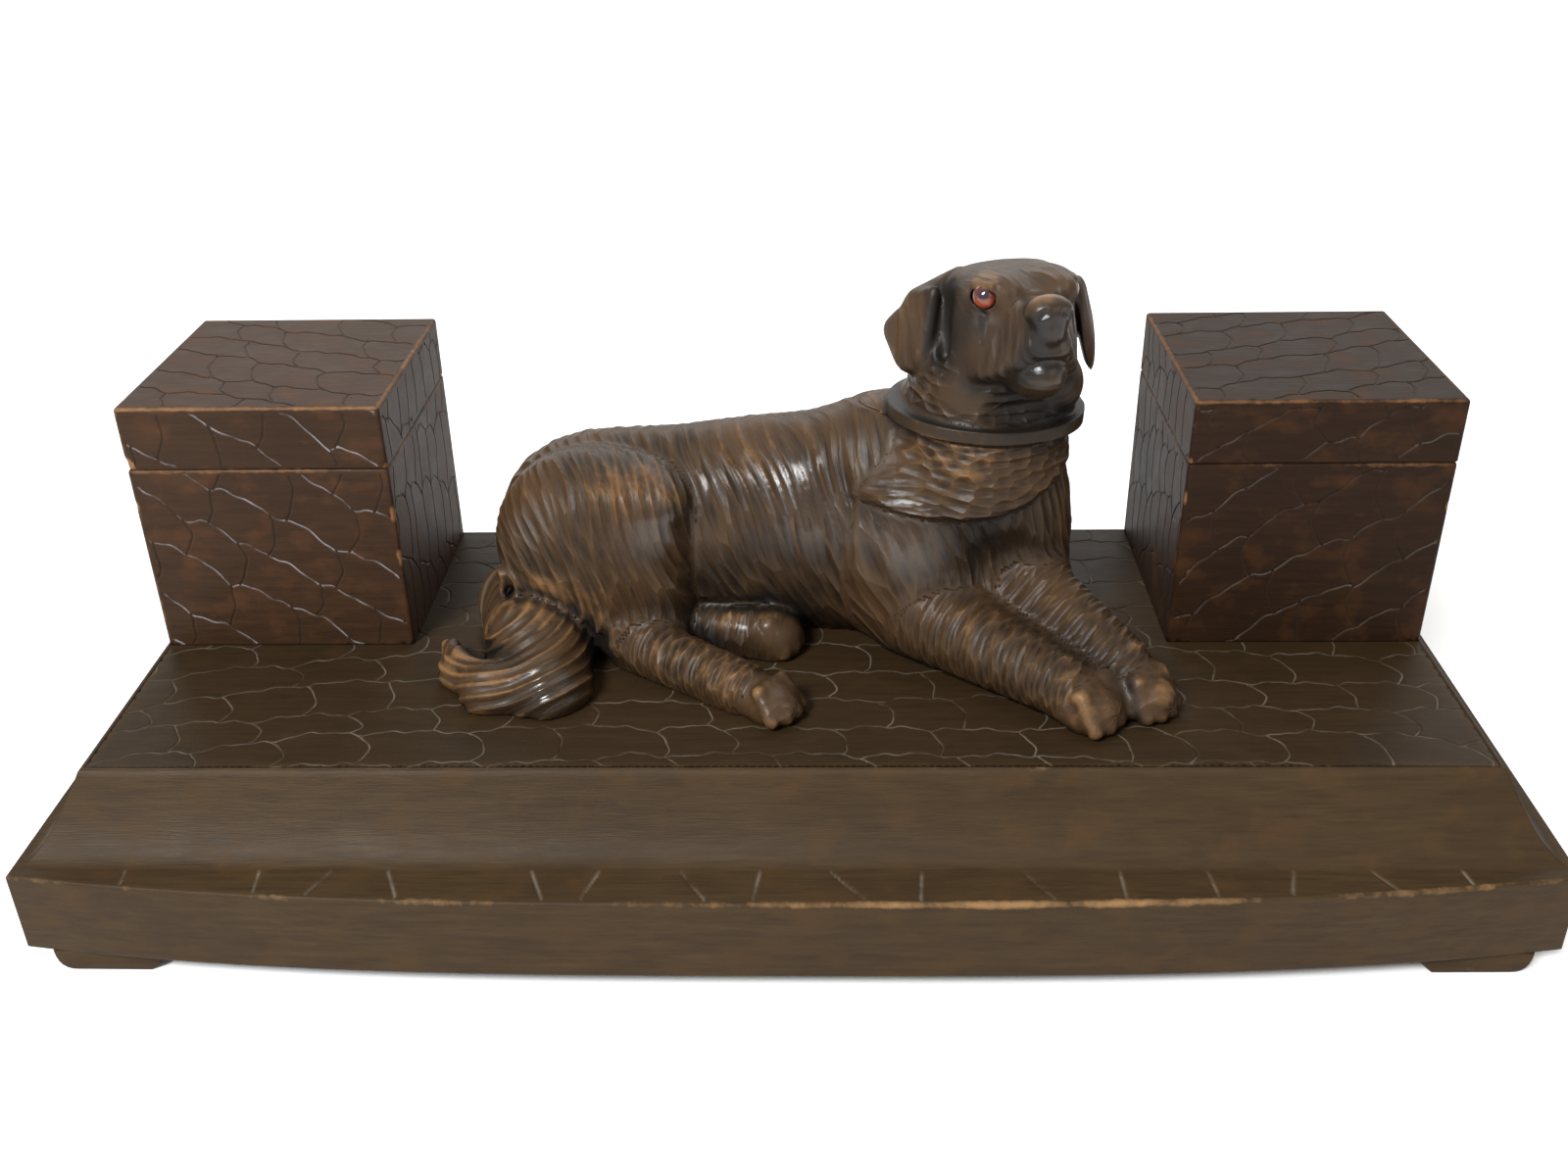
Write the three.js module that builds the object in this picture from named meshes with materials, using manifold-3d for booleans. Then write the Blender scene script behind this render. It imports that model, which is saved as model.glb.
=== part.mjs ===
// Carved wooden inkstand: a long moulded plinth on four pad feet, a square ink box with a
// lift-off lid at each end, and a large hanging-eared dog lying between them, its collar
// carved with it and its two glass eyes set into sockets.
// Millimetres, +Z up. Origin: on the ground, under the middle of the whole object.
// +X runs along the plinth towards the dog's head, -Y is the front.

import * as THREE from "three";
import { mergeVertices } from "three/addons/utils/BufferGeometryUtils.js";
import Module from "manifold-3d";

const wasm = await Module();
wasm.setup();

// Plinth
const LENGTH = 400;
const DEPTH = 163;
const FOOT_HEIGHT = 6.4;
const FASCIA_HEIGHT = 24;
const COVE_DROP = 20.6;
const COVE_REACH = 14.7;
const END_FILLET = 1.8;
const FRONT_FILLET = 3;
const BOW = 10.5;
const BOW_POWER = 3;
const COVE_PULL = [8.9, 19.7];
const COVE_STEPS = 9;
const BOW_STEPS = 28;

// Pad feet
const FOOT_LENGTH = 28;
const FOOT_DEPTH = 26;
const FOOT_INSET = 7;
const FOOT_SETBACK = 1.6;
const FOOT_ROUND = 5;
const FOOT_CHAMFER = 2.4;

// Ink boxes
const BOX_WIDTH = 72.9;
const BOX_DEPTH = 72.3;
const BOX_HEIGHT = 56.5;
const BOX_FROM_EDGE = 0.7;
const BOX_WALL = 8;
const BOX_FLOOR = 6;
const LID_HEIGHT = 18.5;
const LID_TOP = 7;
const TONGUE_DROP = 3;
const TONGUE_THICK = 2.5;
const TONGUE_PLAY = 0.5;

// Dog
const DOG_STEP = 1.8;
const DOG_TRIANGLES = 7000;
const HEAD_AT = [58.4, 5.6, 98.5];
const HEAD_YAW = 15;
const HEAD_PITCH = 16;
const EYE_AT = [16.8, 11.4, 5.6];
const EYE_RADIUS = 3.4;
const SOCKET_PLAY = 0.3;
const BALL_SIDES = 14;
const BALL_RINGS = 9;

// Heights and places that follow from them
const FASCIA_TOP = FOOT_HEIGHT + FASCIA_HEIGHT;
const PLINTH_TOP = FASCIA_TOP + COVE_DROP;
const BACK = DEPTH / 2;
const TOP_HALF = LENGTH / 2 - COVE_REACH - END_FILLET;
const FRONT_CORNER = -DEPTH / 2 + BOW;
const TOP_FRONT = FRONT_CORNER + FRONT_FILLET + COVE_REACH;
const BOX_FRONT = BACK - BOX_DEPTH;
const BOX_X = TOP_HALF - BOX_FROM_EDGE - BOX_WIDTH / 2;

const degrees = Math.PI / 180;

// Solids and their joins

function solidOf(geometry) {
  const bare = geometry.index ? geometry.toNonIndexed() : geometry.clone();
  for (const name of Object.keys(bare.attributes)) {
    if (name !== "position") bare.deleteAttribute(name);
  }
  const merged = mergeVertices(bare, 1e-4);
  return new wasm.Manifold(new wasm.Mesh({
    numProp: 3,
    vertProperties: new Float32Array(merged.attributes.position.array),
    triVerts: new Uint32Array(merged.index.array),
  }));
}

function geometryOf(solid) {
  const mesh = solid.getMesh();
  const geometry = new THREE.BufferGeometry();
  geometry.setAttribute("position", new THREE.BufferAttribute(mesh.vertProperties, 3));
  geometry.setIndex(new THREE.BufferAttribute(mesh.triVerts, 1));
  return geometry;
}

function block(low, high) {
  const size = high.map((value, i) => value - low[i]);
  const geometry = new THREE.BoxGeometry(...size);
  geometry.translate(...low.map((value, i) => value + size[i] / 2));
  return solidOf(geometry);
}

// Plinth: one plank, bowed in front, with the cove run along its front and both ends

function bowFront(x, inset = 0) {
  const along = Math.min(1, Math.abs(2 * x / LENGTH));
  return FRONT_CORNER - BOW * (1 - along ** BOW_POWER) + inset;
}

function plinthSolid() {
  const outline = new THREE.Shape();
  outline.moveTo(-LENGTH / 2, BACK);
  for (let i = 0; i <= BOW_STEPS; i++) {
    const x = LENGTH * (i / BOW_STEPS - 0.5);
    outline.lineTo(x, bowFront(x));
  }
  outline.lineTo(LENGTH / 2, BACK);
  const plank = new THREE.ExtrudeGeometry(outline, {
    depth: PLINTH_TOP - FOOT_HEIGHT,
    bevelEnabled: false,
  });
  plank.translate(0, 0, FOOT_HEIGHT);
  const overrun = 80;
  return solidOf(plank)
    .subtract(coveCutter(LENGTH + overrun, 0, TOP_FRONT))
    .subtract(coveCutter(DEPTH + overrun, 90, TOP_HALF))
    .subtract(coveCutter(DEPTH + overrun, -90, TOP_HALF));
}

// The waste that a moulding plane takes off: the cove's hollow and all that lies above and
// outside it. Its section starts at the plinth's top edge and ends level on the fillet.
function coveCutter(length, turn, edge) {
  const above = 5;
  const beyond = 60;
  const hollow = new THREE.QuadraticBezierCurve(
    new THREE.Vector2(0, 0),
    new THREE.Vector2(COVE_PULL[0], -COVE_PULL[1]),
    new THREE.Vector2(COVE_REACH, -COVE_DROP),
  );
  const section = new THREE.Shape(hollow.getPoints(COVE_STEPS));
  section.lineTo(beyond, -COVE_DROP);
  section.lineTo(beyond, above);
  section.lineTo(0, above);
  const cutter = new THREE.ExtrudeGeometry(section, { depth: length, bevelEnabled: false });
  cutter.translate(0, 0, -length / 2);
  cutter.rotateX(Math.PI / 2);
  cutter.rotateZ(-Math.PI / 2);
  cutter.translate(0, -Math.abs(edge), 0);
  cutter.rotateZ(turn * degrees);
  cutter.translate(0, 0, PLINTH_TOP);
  return solidOf(cutter);
}

// Pad feet: low blocks whose outer end is rounded off and whose inner end is slightly cut back

function footSolid(endSign, sideSign) {
  const outer = LENGTH / 2 - FOOT_INSET;
  const inner = outer - FOOT_LENGTH;
  const side = new THREE.Shape();
  side.moveTo(inner, FOOT_HEIGHT);
  side.lineTo(inner, FOOT_CHAMFER);
  side.lineTo(inner + FOOT_CHAMFER, 0);
  side.lineTo(outer - FOOT_ROUND, 0);
  side.quadraticCurveTo(outer, 0, outer, FOOT_HEIGHT);
  const pad = new THREE.ExtrudeGeometry(side, {
    depth: FOOT_DEPTH,
    bevelEnabled: false,
    curveSegments: 6,
  });
  pad.rotateX(Math.PI / 2);
  const front = bowFront((inner + outer) / 2, FOOT_SETBACK);
  const back = BACK - FOOT_SETBACK;
  pad.translate(0, sideSign < 0 ? front + FOOT_DEPTH : back, 0);
  const solid = solidOf(pad);
  return endSign < 0 ? solid.mirror([1, 0, 0]) : solid;
}

// Ink boxes: a hollow body and a lid that drops onto it, its tongue just inside the walls

function boxSolid(x) {
  const half = BOX_WIDTH / 2;
  const low = [x - half, BOX_FRONT, PLINTH_TOP];
  const high = [x + half, BACK, PLINTH_TOP + BOX_HEIGHT];
  const wellLow = [low[0] + BOX_WALL, low[1] + BOX_WALL, low[2] + BOX_FLOOR];
  const wellHigh = [high[0] - BOX_WALL, high[1] - BOX_WALL, high[2] + BOX_FLOOR];
  return block(low, high).subtract(block(wellLow, wellHigh));
}

function lidSolid(x) {
  const half = BOX_WIDTH / 2;
  const seam = PLINTH_TOP + BOX_HEIGHT;
  const play = BOX_WALL + TONGUE_PLAY;
  const hollow = play + TONGUE_THICK;
  const inset = (amount, bottom, top) => block(
    [x - half + amount, BOX_FRONT + amount, bottom],
    [x + half - amount, BACK - amount, top],
  );
  return inset(0, seam, seam + LID_HEIGHT)
    .add(inset(play, seam - TONGUE_DROP, seam + TONGUE_DROP))
    .subtract(inset(hollow, seam - 2 * TONGUE_DROP, seam + LID_HEIGHT - LID_TOP));
}

// Dog: rounded masses melted into one another. Each mass is a signed distance, negative
// inside. The dog's own frame has its origin on the plinth's top in line with the box fronts.

function turned(point, at, axes) {
  const x = point[0] - at[0];
  const y = point[1] - at[1];
  const z = point[2] - at[2];
  return [
    x * axes[0] + y * axes[1] + z * axes[2],
    x * axes[3] + y * axes[4] + z * axes[5],
    x * axes[6] + y * axes[7] + z * axes[8],
  ];
}

// Rows are the mass's own axes after a yaw about z, a pitch that lifts its nose, and a roll.
function axesOf([yaw, pitch = 0, roll = 0]) {
  const turn = new THREE.Matrix4().makeRotationFromEuler(
    new THREE.Euler(roll * degrees, -pitch * degrees, yaw * degrees, "ZYX"),
  );
  const e = turn.elements;
  return [e[0], e[1], e[2], e[4], e[5], e[6], e[8], e[9], e[10]];
}

function egg(at, size, turn = [0]) {
  const axes = axesOf(turn);
  return (point) => {
    const p = turned(point, at, axes);
    const a = Math.hypot(p[0] / size[0], p[1] / size[1], p[2] / size[2]);
    const b = Math.hypot(p[0] / size[0] ** 2, p[1] / size[1] ** 2, p[2] / size[2] ** 2);
    return b < 1e-9 ? -Math.min(...size) : a * (a - 1) / b;
  };
}

function slab(at, half, round, turn = [0]) {
  const axes = axesOf(turn);
  return (point) => {
    const p = turned(point, at, axes);
    const q = p.map((value, i) => Math.abs(value) - half[i] + round);
    const outside = Math.hypot(Math.max(q[0], 0), Math.max(q[1], 0), Math.max(q[2], 0));
    return outside + Math.min(Math.max(q[0], q[1], q[2]), 0) - round;
  };
}

// A limb tapers from one radius to another; squash makes its section taller than wide.
function limb(from, to, radiusFrom, radiusTo, squash = 1) {
  const span = to.map((value, i) => value - from[i]);
  const squared = span[0] ** 2 + span[1] ** 2 + span[2] ** 2;
  return (point) => {
    const p = point.map((value, i) => value - from[i]);
    const dot = p[0] * span[0] + p[1] * span[1] + p[2] * span[2];
    const t = Math.min(1, Math.max(0, dot / squared));
    const off = Math.hypot(p[0] - t * span[0], p[1] - t * span[1], (p[2] - t * span[2]) / squash);
    return off - radiusFrom - (radiusTo - radiusFrom) * t;
  };
}

function melt(blend, ...masses) {
  return (point) => {
    let near = masses[0](point);
    for (let i = 1; i < masses.length; i++) {
      const other = masses[i](point);
      const overlap = Math.max(blend - Math.abs(near - other), 0) / blend;
      near = Math.min(near, other) - overlap * overlap * blend / 4;
    }
    return near;
  };
}

// Takes a cutter out of a mass, with an edge rounded over the blend's width.
function carve(blend, mass, ...cutters) {
  return (point) => {
    let near = mass(point);
    for (const cutter of cutters) {
      const other = -cutter(point);
      const overlap = Math.max(blend - Math.abs(near - other), 0) / blend;
      near = Math.max(near, other) + overlap * overlap * blend / 4;
    }
    return near;
  };
}

// An upright band with an oval outline, as a collar is.
function band(at, half, height, turn = [0]) {
  const axes = axesOf(turn);
  return (point) => {
    const p = turned(point, at, axes);
    const a = Math.hypot(p[0] / half[0], p[1] / half[1]);
    const b = Math.hypot(p[0] / half[0] ** 2, p[1] / half[1] ** 2);
    const around = b < 1e-9 ? -Math.min(...half) : a * (a - 1) / b;
    return Math.max(around, Math.abs(p[2]) - height / 2);
  };
}

// Runs ridges and grooves round an upright axis through a mass's skin.
function grooved(mass, axis, spacing, depth) {
  return (point) => {
    const around = Math.hypot(point[0] - axis[0], point[1] - axis[1]);
    return mass(point) + depth * Math.cos(2 * Math.PI * around / spacing);
  };
}

// A block bounded by planes, each a direction and its distance from the origin. The edges
// between them are rounded over the blend's width.
function facets(blend, ...planes) {
  const sides = planes.map(([x, y, z, far]) => {
    const long = Math.hypot(x, y, z);
    return (point) => far - (x * point[0] + y * point[1] + z * point[2]) / long;
  });
  return carve(blend, () => -100, ...sides);
}

// A paw: a rounded pad with four toes that fan out over its end and slope down to the ground.
function paw(at, size, yaw, spread) {
  const radius = size[1] * 0.3;
  const toes = [-1.5, -0.5, 0.5, 1.5].map((place) => {
    const way = (yaw + place * spread) * degrees;
    const aside = place * radius * 1.25;
    const reach = size[0] * Math.sqrt(1 - (aside / size[1]) ** 2) - radius;
    const x = at[0] - aside * Math.sin(yaw * degrees);
    const y = at[1] + aside * Math.cos(yaw * degrees);
    return limb(
      [x, y, at[2] + size[2] - radius * 0.8],
      [x + reach * Math.cos(way), y + reach * Math.sin(way), radius + 0.5],
      radius,
      radius,
    );
  });
  return melt(1, egg(at, size.map((value) => value * 0.93), [yaw]), ...toes);
}

const HEAD_TURN = [HEAD_YAW - 90, HEAD_PITCH];
const headAxes = axesOf(HEAD_TURN);

// Puts a mass of its own frame at a place, with a turn.
function placed(mass, at, turn) {
  const axes = axesOf(turn);
  return (point) => mass(turned(point, at, axes));
}

const inHead = (mass) => placed(mass, HEAD_AT, HEAD_TURN);
const pair = (make) => [make(1), make(-1)];

// Head, in its own frame: x towards the nose, y to the dog's left, z up through the skull
function headMass() {
  const skull = melt(6,
    egg([-3, 0, -1], [19, 16.5, 13]),
    slab([5, 0, 2.9], [12, 13.5, 8], 7),
    ...pair((side) => egg([12, side * 8.6, 7], [6.5, 6, 3.4])),
    ...pair((side) => egg([3, side * 8, -8], [12, 7.5, 9])),
  );
  const cheeks = facets(3,
    [0.37, 0.91, 0.2, 15.1],
    [0.37, -0.91, 0.2, 15.1],
    [1, 0, 0.05, 31.6],
    [0.3, 0, 1, 11.6],
    [0.585, 0, -0.81, 26],
    [0, 0, -1, 16.8],
    [-1, 0, 0, 2],
  );
  const chin = melt(4,
    egg([20.6, 0, -14.8], [9.4, 7.2, 6.6]),
    limb([18, 0, -13], [4, 0, -14], 6.5, 9),
  );
  const nose = carve(0.6,
    melt(2.5, slab([29.6, 0, 1.4], [4.4, 6, 3.7], 2.6), slab([30, 0, -3], [4, 3.8, 3.6], 2)),
    ...pair((side) => limb([34.8, side * 2.6, -0.8], [33.4, side * 5.8, -2.6], 0.9, 0.8)),
  );
  const philtrum = limb([34, 0, 0], [32, 0, -9.5], 0.4, 0.7);
  const face = melt(1, melt(5, skull, melt(0.6, cheeks, chin)), nose);
  const ruff = pair((side) => egg([-3, side * 10.5, -19.5], [14, 11, 10.5]));
  return melt(0.8, carve(0.6, face, philtrum), melt(4, ...ruff));
}

// What is cut away behind the cheeks, under the jaw and at the throat, in the head's frame.
function headHollows() {
  return [
    ...pair((side) => limb([2.4, side * 18.6, 9], [2.4, side * 18.6, -13], 2.8, 2.8)),
    ...pair((side) => limb([4, side * 19.5, -17.6], [20, side * 12.5, -18.4], 1.6, 1.4)),
    egg([14, -1, -26], [5, 14, 6]),
  ];
}

// Long hanging ears, in the head's frame. The right one is a flat leaf seen from the front.
function earMass() {
  const leaf = facets(2.5,
    [0.99, 0, -0.14, 11.2],
    [0.62, 0, -0.79, 12.8],
    [0, 0, -1, 12.3],
    [-0.84, 0, -0.55, 8.4],
    [-0.6, 0, 0.8, 7.7],
    [-0.27, 0, 0.96, 9.6],
    [0, 1, 0, 2.4],
    [0, -1, 0, 2.4],
  );
  return melt(2,
    limb([-5, -10, 8], [-8, -21, 5], 5, 3.5),
    egg([-9.5, -18, 0], [8, 7, 8]),
    placed(leaf, [-9.5, -24.5, -3.2], [24, 0, -7]),
    limb([-4, 10, 8], [-9, 22, 4], 5, 4),
    egg([-9, 20, -1], [7, 6, 9]),
    egg([-8, 26, -6], [9.5, 2.4, 13], [-30, 0, 5]),
  );
}

// Long fur of the breast: the front's own skin, stood a little proud and cut off along a
// sagging edge above the elbows.
function bibMass(front) {
  const proud = 1.7;
  const edge = ([x, y, z]) => Math.max(
    47 + 0.0085 * (x - 42) ** 2 - z,
    (9 - 0.8 * x + 0.6 * y) * 0.7,
  );
  return carve(2, (point) => front(point) - proud, (point) => -edge(point));
}

function dogMass() {
  const trunk = melt(14,
    egg([15, 20, 30], [44, 25, 34], [-8]),
    egg([-24, 21, 29], [40, 24, 31]),
    egg([-57, 22, 26], [29, 23, 31]),
    egg([34, 15, 56], [22, 17, 16]),
  );
  const chest = melt(8,
    egg([56.5, 7, 32], [24.5, 21, 38]),
    limb([53, 8, 50], [55, 8, 80], 23.5, 20),
  );
  const shoulder = egg([34, 2, 28], [18, 18, 31]);
  const hollow = egg([62, -22, 30], [15, 13, 14]);
  const front = melt(6, chest, shoulder);
  const bib = bibMass(front);
  const haunch = melt(9,
    egg([-57, 7, 31], [27, 20, 27.5]),
    slab([-44.5, 2, 28], [18, 13.5, 28], 12),
  );
  const hindFoot = melt(3,
    limb([-43, -8, 5], [-12, -31, 4.5], 9, 8),
    paw([-4, -37, 4], [9.5, 8, 7], -40, 9),
  );
  const farHindFoot = melt(3,
    limb([-30, 4, 5], [-5, -3, 5], 9, 8.5),
    paw([-4, -3, 5], [9, 8.5, 7.5], -18, 5),
  );
  const foreleg = melt(4,
    limb([42, -8, 13], [74, -36, 8.5], 13.5, 9),
    paw([81, -42, 5], [9.5, 9, 7.5], -38, 7),
  );
  const farForeleg = melt(4,
    limb([68, -4, 22], [91, -28, 10.5], 11, 8.5),
    paw([97, -36, 5.5], [9, 8, 7.5], -50, 7),
  );
  const tail = grooved(melt(5,
    limb([-80, 14, 6], [-71, -8, 5], 13, 15),
    limb([-71, -8, 5], [-64, -28, 3], 15, 10.5),
    limb([-66, -31, 3], [-82, -30, 3], 9, 7),
    limb([-82, -30, 3], [-92, -20, 3.5], 7, 5),
    limb([-92, -20, 3.5], [-97, -8, 4], 5, 2.8),
  ), [-84, -12], 5.5, 0.6);
  const collar = band([54.5, 6.6, 71.4], [27, 23], 4, [0, -2]);
  const breast = melt(1, carve(4, front, hollow), bib);
  const body = melt(3, melt(8, trunk, breast), haunch);
  const hollows = headHollows().map(inHead);
  const bust = melt(1,
    carve(2, melt(1.5, body, inHead(headMass())), ...hollows),
    inHead(earMass()),
  );
  return melt(1.5, bust, hindFoot, farHindFoot, foreleg, farForeleg, tail, collar);
}

// Fills the grid corners where two parts of a solid would touch only along an edge or at a
// point, so that its skin stays a plain closed surface.
function joinTouching(field, count, index, filled) {
  const corners = [0, 1, 2, 3, 4, 5, 6, 7].map((c) => [c & 1, (c >> 1) & 1, c >> 2]);
  const squares = [[0, 1, 2, 3], [0, 1, 4, 5], [0, 2, 4, 6]];
  for (let again = true; again;) {
    again = false;
    for (let k = 0; k < count[2] - 1; k++) {
      for (let j = 0; j < count[1] - 1; j++) {
        for (let i = 0; i < count[0] - 1; i++) {
          const at = corners.map(([x, y, z]) => index(i + x, j + y, k + z));
          const inside = at.map((place) => field[place] < 0);
          const total = inside.filter(Boolean).length;
          if (total < 2 || total > 6) continue;
          const crossed = squares.find(([a, b, c, d]) => inside[a] === inside[d]
            && inside[b] === inside[c] && inside[a] !== inside[b]);
          const lone = [0, 1, 2, 3].find((c) => inside[c] === inside[7 - c]
            && (total === 2 || total === 6) && inside[c] === (total === 2));
          const open = crossed ? crossed.find((c) => !inside[c]) : lone;
          if (open === undefined) continue;
          field[at[open]] = inside[open] ? filled * -1 : filled;
          again = true;
        }
      }
    }
  }
}

// Meshes a distance: one point in each cell that the surface crosses, four joined into a
// face at each crossed grid line. Blocks that lie clear of the surface are skipped.
function netOf(distance, low, high, step) {
  const count = high.map((value, i) => Math.ceil((value - low[i]) / step) + 2);
  const [nx, ny, nz] = count;
  const index = (i, j, k) => (k * ny + j) * nx + i;
  const place = (i, j, k) => [low[0] + i * step, low[1] + j * step, low[2] + k * step];
  const field = new Float32Array(nx * ny * nz);
  const size = 6;
  const clear = 1.5 * size * step;
  for (let k0 = 0; k0 < nz; k0 += size) {
    for (let j0 = 0; j0 < ny; j0 += size) {
      for (let i0 = 0; i0 < nx; i0 += size) {
        const middle = distance(place(i0 + size / 2, j0 + size / 2, k0 + size / 2));
        const skip = Math.abs(middle) > clear;
        for (let k = k0; k < Math.min(k0 + size, nz); k++) {
          for (let j = j0; j < Math.min(j0 + size, ny); j++) {
            for (let i = i0; i < Math.min(i0 + size, nx); i++) {
              field[index(i, j, k)] = skip ? middle : distance(place(i, j, k));
            }
          }
        }
      }
    }
  }
  joinTouching(field, count, index, -step / 20);
  const points = [];
  const cell = new Int32Array(nx * ny * nz).fill(-1);
  for (let k = 0; k < nz - 1; k++) {
    for (let j = 0; j < ny - 1; j++) {
      for (let i = 0; i < nx - 1; i++) {
        let inside = 0;
        for (let c = 0; c < 8; c++) {
          if (field[index(i + (c & 1), j + ((c >> 1) & 1), k + (c >> 2))] < 0) inside++;
        }
        if (inside === 0 || inside === 8) continue;
        let sum = [0, 0, 0];
        let crossings = 0;
        for (let c = 0; c < 8; c++) {
          for (const bit of [1, 2, 4]) {
            if (c & bit) continue;
            const a = [i + (c & 1), j + ((c >> 1) & 1), k + (c >> 2)];
            const d = c | bit;
            const b = [i + (d & 1), j + ((d >> 1) & 1), k + (d >> 2)];
            const fa = field[index(...a)];
            const fb = field[index(...b)];
            if (fa < 0 === fb < 0) continue;
            const t = fa / (fa - fb);
            sum = sum.map((value, n) => value + a[n] + t * (b[n] - a[n]));
            crossings++;
          }
        }
        cell[index(i, j, k)] = points.length / 3;
        points.push(...place(...sum.map((value) => value / crossings)));
      }
    }
  }
  const faces = [];
  for (let k = 1; k < nz - 1; k++) {
    for (let j = 1; j < ny - 1; j++) {
      for (let i = 1; i < nx - 1; i++) {
        const here = field[index(i, j, k)] < 0;
        for (let axis = 0; axis < 3; axis++) {
          const next = [i, j, k];
          next[axis]++;
          if (here === field[index(...next)] < 0) continue;
          const u = [0, 0, 0];
          const v = [0, 0, 0];
          u[(axis + 1) % 3] = 1;
          v[(axis + 2) % 3] = 1;
          const ring = [
            cell[index(i - u[0] - v[0], j - u[1] - v[1], k - u[2] - v[2])],
            cell[index(i - v[0], j - v[1], k - v[2])],
            cell[index(i, j, k)],
            cell[index(i - u[0], j - u[1], k - u[2])],
          ];
          if (!here) ring.reverse();
          faces.push(ring[0], ring[1], ring[2], ring[0], ring[2], ring[3]);
        }
      }
    }
  }
  return { points, faces };
}

// Hands out the cheapest of its entries first.
class Heap {
  entries = [];

  push(entry) {
    const list = this.entries;
    let i = list.push(entry) - 1;
    while (i > 0) {
      const up = (i - 1) >> 1;
      if (list[up].cost <= list[i].cost) break;
      [list[up], list[i]] = [list[i], list[up]];
      i = up;
    }
  }

  pop() {
    const list = this.entries;
    const first = list[0];
    const last = list.pop();
    if (list.length === 0) return first;
    list[0] = last;
    let i = 0;
    for (;;) {
      let low = 2 * i + 1;
      if (low >= list.length) break;
      if (low + 1 < list.length && list[low + 1].cost < list[low].cost) low++;
      if (list[i].cost <= list[low].cost) break;
      [list[i], list[low]] = [list[low], list[i]];
      i = low;
    }
    return first;
  }
}

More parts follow.
